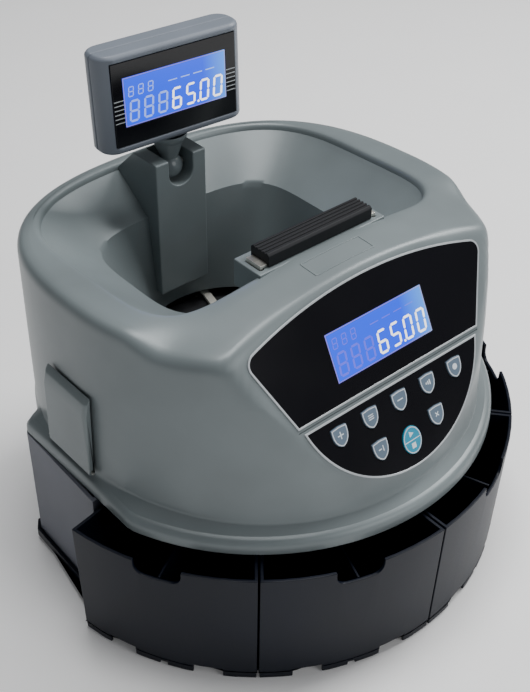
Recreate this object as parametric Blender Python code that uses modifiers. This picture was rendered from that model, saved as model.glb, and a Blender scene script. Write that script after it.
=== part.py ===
"""Coin sorting machine: a drum with a hopper on top and four coin cups in a ring around its front.

Units are metres, +Z is up, the front faces -Y and the table is z = 0. Everything is modelled about the
drum's vertical axis, which stands DRUM_Y behind the origin so that the origin is under the middle of the
machine. The instrument panel and the customer display have frames of their own.
"""

import math

import bmesh
import bpy
from mathutils import Matrix, Vector

MM = 0.001
GAP = 0.3 * MM

# Coin cups
CUP_TOP_RADIUS = 177.5 * MM
CUP_BOTTOM_RADIUS = 175.1 * MM
CUP_INNER_RADIUS = 104 * MM
CUP_TOP = 95.8 * MM
CUP_BOTTOM = 0.8 * MM
CUP_FLOOR = 6.6 * MM
CUP_WALL = 2.2 * MM
CUP_PITCH = 40.4
CUP_SPAN = 40.0
CUP_COUNT = 4
CUP_DIVIDER_TOP = 84 * MM
NOTCH_WIDTH = 31 * MM
NOTCH_DEPTH = 11 * MM

# Base
PAN_BOTTOM = 3.5 * MM
PAN_FLOOR = 6.0 * MM
PAN_LIP = 10.5 * MM
PAN_RADIUS = 171.5 * MM
PAN_MARGIN = 2.8 * MM
FOOT_RADIUS = 8 * MM
BASE_TOP = 101.2 * MM
BASE_FRONT_X = 155 * MM
BASE_SIDE_X = 152 * MM
BASE_EAR_Y = 58 * MM
CORE_RADIUS = 101 * MM
WALL = 2.6 * MM

# Upper housing: lower skirt, drum wall, rim, deck and hopper
SKIRT_RADIUS = 162 * MM
SKIRT_SIDE_X = 151.5 * MM
SKIRT_EAR_Y = 60 * MM
SKIRT_BOTTOM = 101.6 * MM
SKIRT_TOP = 111.5 * MM
DRUM_FOOT = 118 * MM
DRUM_SIDE_LOW = 146 * MM
DRUM_SIDE_HIGH = 141.5 * MM
DRUM_REAR = 138 * MM
DRUM_FRONT_LOW = 150 * MM
DRUM_FRONT_HIGH = 146.5 * MM
RIM_REAR_Z = 227 * MM
RIM_FRONT_Z = 235 * MM
DECK_Z = 245.5 * MM
DECK_RISE = 1.5 * MM
DECK_SAG = 12.4 * MM
DECK_HALF_WIDTH = 103 * MM
PANEL_FILLET = 15 * MM
MOUTH_Y = 35 * MM
MOUTH_HALF_WIDTH = 116 * MM
MOUTH_HALF_LENGTH = 91 * MM
THROAT_Z = 200 * MM
HOPPER_FLOOR_Z = 124.5 * MM
HOPPER_FLOOR_Y = 26 * MM
HOPPER_FLOOR_RADIUS = 62 * MM
FRONT_COLUMNS = 34
REAR_COLUMNS = 42

# Instrument panel: a flat facet whose frame is u to the right, v up the slope and w outwards
PANEL_CENTRE = Vector((0, -109.4, 207.4)) * MM
PANEL_SLOPE = 62.0
LCD_SIZE = (78.9 * MM, 29.9 * MM)
OVERLAY_THICK = 1.2 * MM
OVERLAY_PROUD = 0.6 * MM
OVERLAY_POCKET = 0.9 * MM
BOARD_W = -12.3 * MM
KEY_SIZE = 12.5 * MM
KEY_TRAVEL = 0.7 * MM
KEYS = {
    "key_plus": (-49.8, -43.4),
    "key_batch": (-25.2, -43.4),
    "key_minus": (-0.6, -43.4),
    "key_report": (23.9, -43.4),
    "key_set": (48.3, -43.4),
    "key_add": (-24.6, -64.7),
    "key_clear": (24.0, -64.7),
}
START_KEY = (0, -70.3)
START_KEY_SIZE = (14 * MM, 17.5 * MM)

# Lifting handle on the ledge behind the deck
HANDLE_Y = -49 * MM
HANDLE_LENGTH = 84 * MM
HANDLE_WIDTH = 16 * MM
HANDLE_TOP = 253.5 * MM
LEDGE_TOP = 244.5 * MM
LEDGE_HALF_WIDTH = 51 * MM
LEDGE_REAR_Y = -36 * MM

# Side latches
LATCH_FACE_X = 150.5 * MM
LATCH_Y = (-16 * MM, 30 * MM)
LATCH_Z = (115.2 * MM, 175 * MM)
LATCH_PIVOT = Vector((148.8, 0, 117.4)) * MM
LATCH_PIN_RADIUS = 0.9 * MM

# Cover hinge at the back
HINGE_Y = 140.6 * MM
HINGE_Z = 101.5 * MM
KNUCKLE_RADIUS = 3.2 * MM
HINGE_PIN_RADIUS = 1.5 * MM

# Customer display on its post
POST_HALF_WIDTH = 21 * MM
POST_FRONT_Y = 80 * MM
POST_TOP = 244.5 * MM
PIVOT = Vector((0, 93.5, 233.5)) * MM
STALK_PIN_RADIUS = 2.5 * MM
SLOT_RADIUS = 10 * MM
HEAD_WIDTH = 108 * MM
HEAD_DEPTH = 26 * MM
HEAD_HEIGHT = 66 * MM
HEAD_BOTTOM = 259.5 * MM
HEAD_CORNER = 11 * MM
HEAD_YAW = -4.5
HEAD_LEAN = 2.5
WINDOW_SIZE = (92.4 * MM, 55.3 * MM)
HEAD_LCD_SIZE = (76.8 * MM, 32.4 * MM)

# Sorting mechanism
PLATE_Z = (101.5 * MM, 104 * MM)
RING_Z = (108.3 * MM, 110.8 * MM)
RING_RADIUS = 133 * MM
RING_FENCE = 117 * MM
DISC_RADIUS = 98 * MM
DISC_Z = (111.5 * MM, 114 * MM)
SHAFT_RADIUS = 5 * MM
PULLEY_Z = (74 * MM, 82 * MM)
PULLEY_RADIUS = 36 * MM
MOTOR_Y = 84 * MM
MOTOR_RADIUS = 24 * MM
MOTOR_PULLEY_RADIUS = 12 * MM

# Sockets in the back, as (x, z) corners, on a flat pad
PAD_Y = 138.7 * MM
LIP_Y = (139.0 * MM, 141.2 * MM)
INLET = ((-46 * MM, 26 * MM), (-18 * MM, 46 * MM))
SWITCH = ((-9 * MM, 24 * MM), (5 * MM, 48 * MM))
DATA_SOCKET = ((18 * MM, 29 * MM), (34 * MM, 43 * MM))
ROCKER_Y = 133 * MM
ROCKER_TILT = 7.0

DRUM_Y = (CUP_TOP_RADIUS - HINGE_Y - KNUCKLE_RADIUS) / 2

# Turns a plate's outline upright: its x runs along Y, its y along Z and its thickness along X
ACROSS = Matrix(((0, 0, 1, 0), (1, 0, 0, 0), (0, 1, 0, 0), (0, 0, 0, 1)))
# Stands a plate's outline up to face the front: its y runs along Z and its thickness towards -Y
FACING = Matrix(((1, 0, 0, 0), (0, 0, -1, 0), (0, 1, 0, 0), (0, 0, 0, 1)))

PAINT = {}


# ---------------------------------------------------------------- scene, materials and small tools


def clear_scene():
    for item in list(bpy.data.objects):
        bpy.data.objects.remove(item, do_unlink=True)


def make_collection(name):
    group = bpy.data.collections.new(name)
    bpy.context.scene.collection.children.link(group)
    return group


def make_materials():
    finishes = {
        "housing_grey": ((0.20, 0.225, 0.23), 0.45, 0.0),
        "base_grey": ((0.14, 0.15, 0.18), 0.5, 0.0),
        "charcoal": ((0.025, 0.03, 0.04), 0.5, 0.0),
        "black_gloss": ((0.01, 0.011, 0.015), 0.15, 0.0),
        "lcd_blue": ((0.06, 0.16, 0.83), 0.2, 0.0),
        "key_blue": ((0.22, 0.29, 0.35), 0.4, 0.0),
        "key_cyan": ((0.05, 0.37, 0.57), 0.35, 0.0),
        "rubber": ((0.012, 0.012, 0.013), 0.8, 0.0),
        "steel": ((0.62, 0.6, 0.55), 0.3, 1.0),
        "aluminium": ((0.6, 0.61, 0.62), 0.4, 1.0),
        "board_green": ((0.02, 0.12, 0.05), 0.5, 0.0),
        "white_plastic": ((0.75, 0.75, 0.72), 0.45, 0.0),
        "copper": ((0.7, 0.3, 0.15), 0.35, 1.0),
    }
    for name, (colour, roughness, metallic) in finishes.items():
        paint = bpy.data.materials.new(name)
        paint.use_nodes = True
        shader = paint.node_tree.nodes["Principled BSDF"]
        shader.inputs["Base Color"].default_value = (*colour, 1.0)
        shader.inputs["Roughness"].default_value = roughness
        shader.inputs["Metallic"].default_value = metallic
        paint.diffuse_color = (*colour, 1.0)
        PAINT[name] = paint


def make_empty(name, matrix, parent=None):
    empty = bpy.data.objects.new(name, None)
    MACHINE.objects.link(empty)
    empty.parent = parent
    empty.matrix_local = matrix
    return empty


def add_object(name, mesh, paint, parent):
    piece = bpy.data.objects.new(name, mesh)
    piece.parent = parent
    if paint:
        mesh.materials.clear()
        mesh.materials.append(PAINT[paint])
    MACHINE.objects.link(piece)
    return piece


def mesh_from(bm, name):
    bmesh.ops.recalc_face_normals(bm, faces=bm.faces)
    mesh = bpy.data.meshes.new(name)
    bm.to_mesh(mesh)
    bm.free()
    return mesh


def box(name, low, high, paint=None, parent=None):
    """An axis-aligned box between two corners."""
    low, high = Vector(low), Vector(high)
    bm = bmesh.new()
    size = Matrix.Diagonal((*(high - low), 1))
    bmesh.ops.create_cube(bm, size=1, matrix=Matrix.Translation((low + high) / 2) @ size)
    return add_object(name, mesh_from(bm, name), paint, parent)


def cylinder(name, radius, start, end, sides=24, paint=None, parent=None, end_radius=None):
    """A cylinder or cone from one point of its axis to another."""
    start, end = Vector(start), Vector(end)
    axis = end - start
    turn = Vector((0, 0, 1)).rotation_difference(axis).to_matrix().to_4x4()
    bm = bmesh.new()
    bmesh.ops.create_cone(
        bm,
        cap_ends=True,
        segments=sides,
        radius1=radius,
        radius2=radius if end_radius is None else end_radius,
        depth=axis.length,
        matrix=Matrix.Translation((start + end) / 2) @ turn,
    )
    return add_object(name, mesh_from(bm, name), paint, parent)


def turned(name, profile, centre=(0, 0), sides=32, paint=None, parent=None):
    """A turned piece: the profile's (radius, z) points spun about a vertical axis with a Screw modifier."""
    bm = bmesh.new()
    points = [bm.verts.new((radius, 0, z)) for radius, z in profile]
    closed = profile[0][0] > 0
    pairs = list(zip(points, points[1:] + points[:1])) if closed else list(zip(points, points[1:]))
    for first, second in pairs:
        bm.edges.new((first, second))
    mesh = bpy.data.meshes.new(name)
    bm.to_mesh(mesh)
    bm.free()
    piece = add_object(name, mesh, paint, parent)
    piece.location = (*centre, 0)
    screw = piece.modifiers.new("turn", "SCREW")
    screw.steps = screw.render_steps = sides
    screw.use_merge_vertices = True
    screw.merge_threshold = 0.00001
    return piece


def plate(name, outline, low, high, paint=None, parent=None):
    """A flat outline of (x, y) points, extruded from one height to another."""
    curve = bpy.data.curves.new(name, "CURVE")
    curve.dimensions = "2D"
    curve.fill_mode = "BOTH"
    curve.extrude = (high - low) / 2
    spline = curve.splines.new("POLY")
    spline.points.add(len(outline) - 1)
    for point, (x, y) in zip(spline.points, outline):
        point.co = (x, y, 0, 1)
    spline.use_cyclic_u = True
    guide = bpy.data.objects.new(name + "_outline", curve)
    MACHINE.objects.link(guide)
    bpy.context.view_layer.update()
    mesh = bpy.data.meshes.new_from_object(guide.evaluated_get(bpy.context.evaluated_depsgraph_get()))
    bpy.data.objects.remove(guide, do_unlink=True)
    bm = bmesh.new()
    bm.from_mesh(mesh)
    bmesh.ops.remove_doubles(bm, verts=bm.verts, dist=0.00001)
    bmesh.ops.translate(bm, verts=bm.verts, vec=(0, 0, (low + high) / 2))
    return add_object(name, mesh_from(bm, name), paint, parent)


def loft(name, rings, paint=None, parent=None, closed=False):
    """A skin through rings of equally many points. An open loft is capped, a closed one joins up."""
    bm = bmesh.new()
    rows = [[bm.verts.new(point) for point in ring] for ring in rings]
    pairs = list(zip(rows, rows[1:]))
    if closed:
        pairs.append((rows[-1], rows[0]))
    for low, high in pairs:
        for i in range(len(low)):
            j = (i + 1) % len(low)
            bm.faces.new((low[i], low[j], high[j], high[i]))
    if not closed:
        bm.faces.new(rows[0][::-1])
        bm.faces.new(rows[-1])
    bmesh.ops.triangulate(bm, faces=bm.faces)
    return add_object(name, mesh_from(bm, name), paint, parent)


def boolean(target, tool, operation):
    """Cuts the tool from the target, or joins it on, and removes the tool."""
    bpy.context.view_layer.update()
    step = target.modifiers.new(operation.lower(), "BOOLEAN")
    step.operation = operation
    step.solver = "EXACT"
    step.object = tool
    bpy.context.view_layer.update()
    result = bpy.data.meshes.new_from_object(target.evaluated_get(bpy.context.evaluated_depsgraph_get()))
    target.modifiers.clear()
    bm = bmesh.new()
    bm.from_mesh(result)
    bmesh.ops.remove_doubles(bm, verts=bm.verts, dist=0.000002)
    bmesh.ops.dissolve_degenerate(bm, edges=bm.edges, dist=0.000002)
    bm.to_mesh(result)
    bm.free()
    old, target.data = target.data, result
    bpy.data.meshes.remove(old)
    bpy.data.objects.remove(tool, do_unlink=True)
    return target


def cut(target, *tools):
    for tool in tools:
        boolean(target, tool, "DIFFERENCE")
    return target


def join(target, *tools):
    for tool in tools:
        boolean(target, tool, "UNION")
    return target


def set_origin(piece, point):
    """Moves a piece's origin, for instance onto its joint's axis, and leaves its shape where it is."""
    piece.data.transform(Matrix.Translation(-Vector(point)))
    piece.location = Vector(point)
    return piece


# ---------------------------------------------------------------- outlines


def arc(radius, start, end, steps, centre=(0, 0)):
    """Points on an arc, angles in degrees anticlockwise from +X."""
    angles = [math.radians(start + (end - start) * i / steps) for i in range(steps + 1)]
    return [(centre[0] + radius * math.cos(a), centre[1] + radius * math.sin(a)) for a in angles]


def mirrored(half):
    """Completes an outline whose half runs from the -Y side round +X to the +Y side."""
    return half + [(-x, y) for x, y in reversed(half) if abs(x) > 1e-9]


def offset(outline, distance):
    """Moves each side of an anticlockwise outline outwards by a distance, with mitred corners."""
    moved = []
    count = len(outline)
    for i in range(count):
        before, here, after = (Vector(outline[(i + k) % count]) for k in (-1, 0, 1))
        first = (here - before).normalized()
        second = (after - here).normalized()
        normal = Vector((first.y + second.y, -first.x - second.x)).normalized()
        reach = distance / max(0.3, normal.dot(Vector((first.y, -first.x))))
        moved.append(tuple(here + normal * reach))
    return moved


def superellipse(angle, half_x, half_y, power):
    """Radius of a superellipse in a direction."""
    across = (abs(math.cos(angle)) / half_x) ** power
    along = (abs(math.sin(angle)) / half_y) ** power
    return (across + along) ** (-1 / power)


def rear_arc(margin, steps=12):
    """The machine's rounded back, from +X side to -X side, a margin outside the drum wall."""
    points = []
    for i in range(steps + 1):
        angle = math.radians(25 + 130 * i / steps)
        radius = superellipse(angle, DRUM_SIDE_LOW + margin, DRUM_REAR + margin, 2.5)
        points.append((radius * math.cos(angle), radius * math.sin(angle)))
    return points


def ring_sector(inner, outer, start, end, steps):
    """The plan of a block between two radii and two angles."""
    return arc(outer, start, end, steps) + arc(inner, end, start, steps)


def belt_loop(radius_a, y_a, radius_b, y_b, steps=16):
    """The plan of a belt round two pulleys that stand on the Y axis, the second behind the first."""
    lean = math.degrees(math.asin((radius_a - radius_b) / (y_b - y_a)))
    front = arc(radius_a, 180 - lean, 360 + lean, steps, (0, y_a))
    back = arc(radius_b, lean, 180 - lean, steps // 2, (0, y_b))
    return front + back


# ---------------------------------------------------------------- the drum's surface


def smooth(value):
    value = min(1.0, max(0.0, value))
    return value * value * (3 - 2 * value)


def blend(low, high, share):
    return low + (high - low) * share


def top_height(x, y):
    """Height of the rim and deck above a point of the plan."""
    rim = blend(RIM_REAR_Z, RIM_FRONT_Z, (DRUM_REAR - y) / (188 * MM))
    crown = DECK_Z + DECK_RISE * (y + 89 * MM) / (33 * MM) - DECK_SAG * (x / DECK_HALF_WIDTH) ** 2
    return blend(rim, max(crown, rim - 8 * MM), smooth((-38 * MM - y) / (28 * MM)))


def wall_share(z):
    """How far up the drum wall a height is, from 0 at its foot to 1 at the rim."""
    return (z - DRUM_FOOT) / (RIM_FRONT_Z - DRUM_FOOT)


def drum_radius(angle, z):
    """Radius of the drum wall in a direction at a height, with the panel's facet and its round edge."""
    share = wall_share(z)
    half_x = blend(DRUM_SIDE_LOW, DRUM_SIDE_HIGH, share)
    if math.sin(angle) > 0:
        return superellipse(angle, half_x, DRUM_REAR, blend(2.5, 2.7, share))
    front = blend(DRUM_FRONT_LOW, DRUM_FRONT_HIGH, share)
    wall = superellipse(angle, half_x, front, 2.1)
    slope = math.radians(PANEL_SLOPE)
    facet = -PANEL_CENTRE.y + (PANEL_CENTRE.z - z) / math.tan(slope)
    if facet >= wall:
        return wall
    middle_y = facet - PANEL_FILLET
    middle_x = math.sqrt(max(0.0, (wall - PANEL_FILLET) ** 2 - middle_y**2))
    away = abs(angle + math.pi / 2)
    if away < math.atan2(middle_x, facet):
        return facet / math.cos(away)
    if away > math.atan2(middle_x, middle_y):
        return wall
    along = middle_x * math.sin(away) + middle_y * math.cos(away)
    aside = middle_x * math.cos(away) - middle_y * math.sin(away)
    return along + math.sqrt(max(0.0, PANEL_FILLET**2 - aside**2))


def edge_height(angle):
    """Height at which the drum wall meets the rim or deck, found by halving."""
    low, high = DRUM_FOOT, 260 * MM
    for _ in range(30):
        z = (low + high) / 2
        radius = drum_radius(angle, z)
        if z < top_height(radius * math.cos(angle), radius * math.sin(angle)):
            low = z
        else:
            high = z
    return low


def skirt_radius(angle):
    """Radius of the flared skirt: a wide arc in front, flat sides, and close to the wall behind."""
    behind = superellipse(angle, DRUM_SIDE_LOW + 1 * MM, DRUM_REAR + 1 * MM, 2.5)
    ahead = min(SKIRT_RADIUS, SKIRT_SIDE_X / max(1e-6, abs(math.cos(angle))))
    y = ahead * math.sin(angle)
    share = smooth((y - SKIRT_EAR_Y) / (9 * MM))
    return blend(ahead, behind, share) if math.sin(angle) > 0 else ahead


def mouth_point(angle, margin=0.0):
    """A point on the hopper's mouth, nearly square in front and rounder behind."""
    power = 3.0 if math.sin(angle) > 0 else 8.0
    radius = superellipse(angle, MOUTH_HALF_WIDTH + margin, MOUTH_HALF_LENGTH + margin, power)
    return radius * math.cos(angle), MOUTH_Y + radius * math.sin(angle)


def throat_point(angle, margin=0.0):
    """A point on the hopper's throat, where its slopes end and its steep lower part starts."""
    radius = superellipse(angle, 77 * MM + margin, 59 * MM + margin, 4.0)
    return radius * math.cos(angle), 33 * MM + radius * math.sin(angle)


def floor_point(angle, margin=0.0):
    radius = HOPPER_FLOOR_RADIUS + margin
    return radius * math.cos(angle), HOPPER_FLOOR_Y + radius * math.sin(angle)


def facet_foot(angle):
    """Height at which the facet starts in a direction, or a height well up the wall beside it."""
    away = abs(angle + math.pi / 2)
    top = edge_height(angle)
    ceiling = blend(DRUM_FOOT, top, 0.7)
    if math.sin(angle) > 0 or math.cos(away) < 0.6:
        return ceiling
    low, high = DRUM_FOOT, top
    for _ in range(30):
        z = (low + high) / 2
        facet = -PANEL_CENTRE.y + (PANEL_CENTRE.z - z) / math.tan(math.radians(PANEL_SLOPE))
        if facet / math.cos(away) > blend(DRUM_FRONT_LOW, DRUM_FRONT_HIGH, wall_share(z)):
            low = z
        else:
            high = z
    return min(low, ceiling)


def drum_angles():
    """Directions of the columns: close together in front and at the skirt's ears."""
    front = [-150 + 120 * i / FRONT_COLUMNS for i in range(FRONT_COLUMNS)]
    rear = [-30 + 240 * i / REAR_COLUMNS for i in range(REAR_COLUMNS)]
    ear = math.degrees(math.atan2(SKIRT_EAR_Y, SKIRT_SIDE_X))
    extra = [ear - 1.0, ear + 3.4, 180 - ear - 3.4, 180 - ear + 1.0]
    kept = [angle for angle in front + rear if all(abs(angle - other) > 1.4 for other in extra)]
    return [math.radians(angle) for angle in sorted(kept + extra)]


def round_edge(angle):
    """Size of the rim's outer round, which is tighter along the top of the panel."""
    front = smooth((math.cos(angle + math.pi / 2) - 0.72) / 0.2)
    return blend(8 * MM, 3 * MM, front)


def skirt_place(angle, inset, z, toward_wall=0.0):
    radius = blend(skirt_radius(angle) - inset, drum_radius(angle, z), toward_wall)
    return (radius * math.cos(angle), radius * math.sin(angle), z)


def wall_place(angle, stage, share, inset=0.0):
    """A point on the drum wall: stage 0 is below the facet's foot and stage 1 is above it."""
    foot = facet_foot(angle)
    top = edge_height(angle) - round_edge(angle)
    z = blend(foot, top, share) if stage else blend(DRUM_FOOT, foot, share)
    radius = drum_radius(angle, z) - inset
    return (radius * math.cos(angle), radius * math.sin(angle), z)


def rim_place(angle, inset_share, drop_share, thick=0.0):
    edge = edge_height(angle)
    size = round_edge(angle)
    radius = drum_radius(angle, edge) - size * inset_share - thick
    x, y = radius * math.cos(angle), radius * math.sin(angle)
    return (x, y, top_height(x, y) - size * drop_share - thick)


def mouth_place(angle, margin, drop):
    x, y = mouth_point(angle, margin)
    return (x, y, top_height(x, y) - drop)


def housing_rings():
    """The housing's whole skin as closed rings, from its lower edge over the rim and back inside."""
    angles = drum_angles()
    lip = 3.5 * MM
    places = [
        lambda a: skirt_place(a, WALL, SKIRT_BOTTOM),
        lambda a: skirt_place(a, 0, SKIRT_BOTTOM),
        lambda a: skirt_place(a, 0, SKIRT_TOP - 1.5 * MM),
        lambda a: skirt_place(a, 1.5 * MM, SKIRT_TOP),
        lambda a: skirt_place(a, 0, SKIRT_TOP + 1.2 * MM, 0.65),
        lambda a: skirt_place(a, 0, SKIRT_TOP + 3.5 * MM, 0.94),
        lambda a: wall_place(a, 0, 0),
        lambda a: wall_place(a, 0, 0.5),
        lambda a: wall_place(a, 1, 0),
        lambda a: wall_place(a, 1, 0.5),
        lambda a: wall_place(a, 1, 1),
        lambda a: rim_place(a, 0.3, 0.3),
        lambda a: rim_place(a, 1, 0),
        lambda a: mouth_place(a, 2 * MM, 0),
        lambda a: mouth_place(a, -1 * MM, lip),
        lambda a: (*throat_point(a), THROAT_Z),
        lambda a: (*floor_point(a), HOPPER_FLOOR_Z),
        lambda a: (*floor_point(a, WALL), HOPPER_FLOOR_Z),
        lambda a: (*throat_point(a, WALL), THROAT_Z - 1 * MM),
        lambda a: mouth_place(a, 3 * MM, lip + WALL),
        lambda a: rim_place(a, 1, 0, WALL),
        lambda a: wall_place(a, 1, 1, WALL),
        lambda a: wall_place(a, 1, 0, WALL),
        lambda a: wall_place(a, 0, 0, WALL),
        lambda a: skirt_place(a, WALL, SKIRT_TOP - 1.5 * MM),
    ]
    return [[place(angle) for angle in angles] for place in places]


# ---------------------------------------------------------------- base


def base_outline():
    """Plan of the base: ears at the sides, a round back, and a core wall behind the cups."""
    end = 90 - CUP_PITCH * CUP_COUNT / 2 - 0.7
    core = arc(CORE_RADIUS, -90, -end, 16)
    cheek = BASE_FRONT_X / math.cos(math.radians(end))
    front_corner = (BASE_FRONT_X, -cheek * math.sin(math.radians(end)))
    side = [front_corner, (BASE_SIDE_X, BASE_EAR_Y), (BASE_SIDE_X - 4 * MM, BASE_EAR_Y + 6 * MM)]
    back = [point for point in rear_arc(0.5 * MM) if point[0] >= -1e-9]
    return mirrored(core + side + back)


def make_base(root):
    outline = base_outline()
    inside = offset(outline, -WALL)
    heights = (PAN_FLOOR + GAP, BASE_TOP)
    rings = [
        [(x, y, heights[0]) for x, y in inside],
        [(x, y, heights[0]) for x, y in outline],
        [(x, y, heights[1]) for x, y in outline],
        [(x, y, heights[1]) for x, y in inside],
    ]
    base = loft("base_housing", rings, "base_grey", root, closed=True)
    for side in (-1, 1):
        knuckle_ends = (side * 22 * MM, side * 34 * MM)
        join(base, hinge_knuckle(knuckle_ends, -1))
        relief_ends = (side * 34.2 * MM, side * 48 * MM)
        cut(base, hinge_bore(knuckle_ends), hinge_relief(relief_ends))
    join(base, box("pad", (-52 * MM, 132 * MM, 19 * MM), (40 * MM, PAD_Y, 53 * MM)))
    for (x0, z0), (x1, z1) in (INLET, SWITCH, DATA_SOCKET):
        low = (x0 - GAP, 125 * MM, z0 - GAP)
        cut(base, box("hole", low, (x1 + GAP, 150 * MM, z1 + GAP)))


def make_pan(root):
    """The black pan under everything, with a low lip round the sides and the back."""
    front = arc(PAN_RADIUS, -90, -8.9, 18)
    corner = (BASE_FRONT_X + PAN_MARGIN, -19 * MM)
    outer = offset(base_outline(), PAN_MARGIN)
    back = [point for point in outer if point[0] >= -1e-9 and point[1] > 0]
    plan = mirrored(front + [corner] + back)
    first, last = len(front), len(plan) - len(front)
    tops = [PAN_LIP if first <= i <= last else PAN_FLOOR for i in range(len(plan))]
    rings = [
        [(x, y, PAN_BOTTOM) for x, y in plan],
        [(x, y, z) for (x, y), z in zip(plan, tops)],
        [(x, y, z) for (x, y), z in zip(offset(plan, -2.0 * MM), tops)],
        [(x, y, PAN_FLOOR - GAP) for x, y in offset(plan, -2.2 * MM)],
    ]
    loft("base_pan", rings, "charcoal", root)


def make_feet(root):
    places = [(118 * MM, 84 * MM), (-118 * MM, 84 * MM), (-98 * MM, -100 * MM), (98 * MM, -100 * MM)]
    for number, (x, y) in enumerate(places, 1):
        foot = cylinder(
            f"foot_{number}",
            FOOT_RADIUS,
            (x, y, 0),
            (x, y, PAN_BOTTOM - GAP),
            sides=16,
            paint="rubber",
            parent=root,
        )
        set_origin(foot, (x, y, 0))


# ---------------------------------------------------------------- cups


def cup_rings(start, end):
    def sector(inner, outer, z, trim=0.0):
        plan = ring_sector(inner, outer, start, end, 10)
        return [(x, y, z) for x, y in offset(plan, -trim)]

    def draft(z):
        return blend(CUP_BOTTOM_RADIUS, CUP_TOP_RADIUS, z / CUP_TOP)

    return [
        sector(CUP_INNER_RADIUS, draft(CUP_FLOOR), CUP_FLOOR),
        sector(CUP_INNER_RADIUS, CUP_TOP_RADIUS, CUP_TOP),
        sector(CUP_INNER_RADIUS, CUP_TOP_RADIUS, CUP_TOP, CUP_WALL),
        sector(CUP_INNER_RADIUS, draft(CUP_FLOOR), CUP_FLOOR + CUP_WALL, CUP_WALL),
    ]


def make_cup(number, start, root):
    """One cup: a wedge-shaped bin with a divider, a finger notch and a skirt below its floor."""
    end = start + CUP_SPAN
    middle = math.radians((start + end) / 2)
    outward = Vector((math.cos(middle), math.sin(middle), 0))
    name = f"coin_cup_{number}"
    cup = loft(name, cup_rings(start, end), "charcoal", root)

    skirt_plan = ring_sector(PAN_RADIUS + 1.4 * MM, CUP_BOTTOM_RADIUS - 0.1 * MM, start + 0.1, end - 0.1, 8)
    join(cup, plate("skirt", skirt_plan, CUP_BOTTOM, CUP_FLOOR + 1 * MM))

    divider = box(
        "divider",
        (CUP_INNER_RADIUS + 1 * MM, -0.9 * MM, CUP_FLOOR + 1 * MM),
        (CUP_BOTTOM_RADIUS - 1 * MM, 0.9 * MM, CUP_DIVIDER_TOP),
    )
    divider.rotation_euler.z = middle
    join(cup, divider)

    turn = Matrix.Rotation(middle, 4, "Z")
    half = NOTCH_WIDTH / 2
    corner = 7 * MM
    outline = [(-half - 2 * MM, 4 * MM), (-half, 0)]
    outline += arc(corner, 180, 270, 4, (-half + corner, -NOTCH_DEPTH + corner))
    outline += arc(corner, 270, 360, 4, (half - corner, -NOTCH_DEPTH + corner))
    outline += [(half, 0), (half + 2 * MM, 4 * MM)]
    notch = plate("notch", outline, 160 * MM, 190 * MM)
    notch.matrix_local = turn @ Matrix.Translation((0, 0, CUP_TOP)) @ ACROSS
    cut(cup, notch)

    wide, high, narrow, low = 9.5 * MM, 8 * MM, 2.5 * MM, 3.5 * MM
    for turned_by, half, top in ((-9.75, wide, high), (9.75, wide, high), (0, narrow, low)):
        slot = box("slot", (PAN_RADIUS + 0.9 * MM, -half, -2 * MM), (190 * MM, half, top))
        slot.rotation_euler.z = middle + math.radians(turned_by)
        cut(cup, slot)
    set_origin(cup, outward * CUP_INNER_RADIUS)


def make_cups(root):
    first = -90 - CUP_PITCH * CUP_COUNT / 2 + (CUP_PITCH - CUP_SPAN) / 2
    for number in range(CUP_COUNT):
        make_cup(number + 1, first + CUP_PITCH * number, root)


# ---------------------------------------------------------------- upper housing


def hinge_knuckle(ends, side):
    """One barrel of the cover hinge with the web that joins it to its wall; side is +1 for the cover."""
    low, high = sorted(ends)
    barrel = cylinder("knuckle", KNUCKLE_RADIUS, (low, HINGE_Y, HINGE_Z), (high, HINGE_Y, HINGE_Z), 16)
    if side > 0:
        web = box("web", (low, 134.6 * MM, SKIRT_BOTTOM + 0.4 * MM), (high, HINGE_Y, 107 * MM))
    else:
        web = box("web", (low, 134.6 * MM, 95 * MM), (high, HINGE_Y, BASE_TOP - 0.4 * MM))
    return join(barrel, web)


def hinge_bore(ends):
    low, high = sorted(ends)
    radius = HINGE_PIN_RADIUS + GAP
    start = (low - 1 * MM, HINGE_Y, HINGE_Z)
    return cylinder("bore", radius, start, (high + 1 * MM, HINGE_Y, HINGE_Z), 12)


def hinge_relief(ends):
    low, high = sorted(ends)
    radius = KNUCKLE_RADIUS + 0.5 * MM
    return cylinder("relief", radius, (low, HINGE_Y, HINGE_Z), (high, HINGE_Y, HINGE_Z), 16)


def make_hinge_pins(root):
    for name, side in (("hinge_pin_left", -1), ("hinge_pin_right", 1)):
        start = (side * 21 * MM, HINGE_Y, HINGE_Z)
        end = (side * 47.5 * MM, HINGE_Y, HINGE_Z)
        pin = cylinder(name, HINGE_PIN_RADIUS, start, end, 12, "steel", root)
        set_origin(pin, start)


def slot_cutter():
    """The U-shaped slot that the display's stalk tilts in."""
    outline = arc(SLOT_RADIUS, 180, 360, 12) + [(SLOT_RADIUS, 36 * MM), (-SLOT_RADIUS, 36 * MM)]
    slot = plate("slot", outline, -12.5 * MM, 33.5 * MM)
    slot.matrix_local = Matrix.Translation(PIVOT) @ FACING
    return slot


def add_display_post(housing):
    """The post stands on the hopper's back wall; its side view is extruded across X."""
    side_view = [(80, 140), (97, 140), (105, 200), (128, 226), (106, 244.5), (80, 244.5)]
    outline = [(y * MM, z * MM) for y, z in side_view]
    post = plate("post", outline, -POST_HALF_WIDTH, POST_HALF_WIDTH)
    post.matrix_local = ACROSS
    cut(post, slot_cutter())
    start = (-17 * MM, PIVOT.y, PIVOT.z)
    cut(post, cylinder("bore", STALK_PIN_RADIUS + GAP, start, (17 * MM, PIVOT.y, PIVOT.z), 12))
    join(housing, post)


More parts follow.
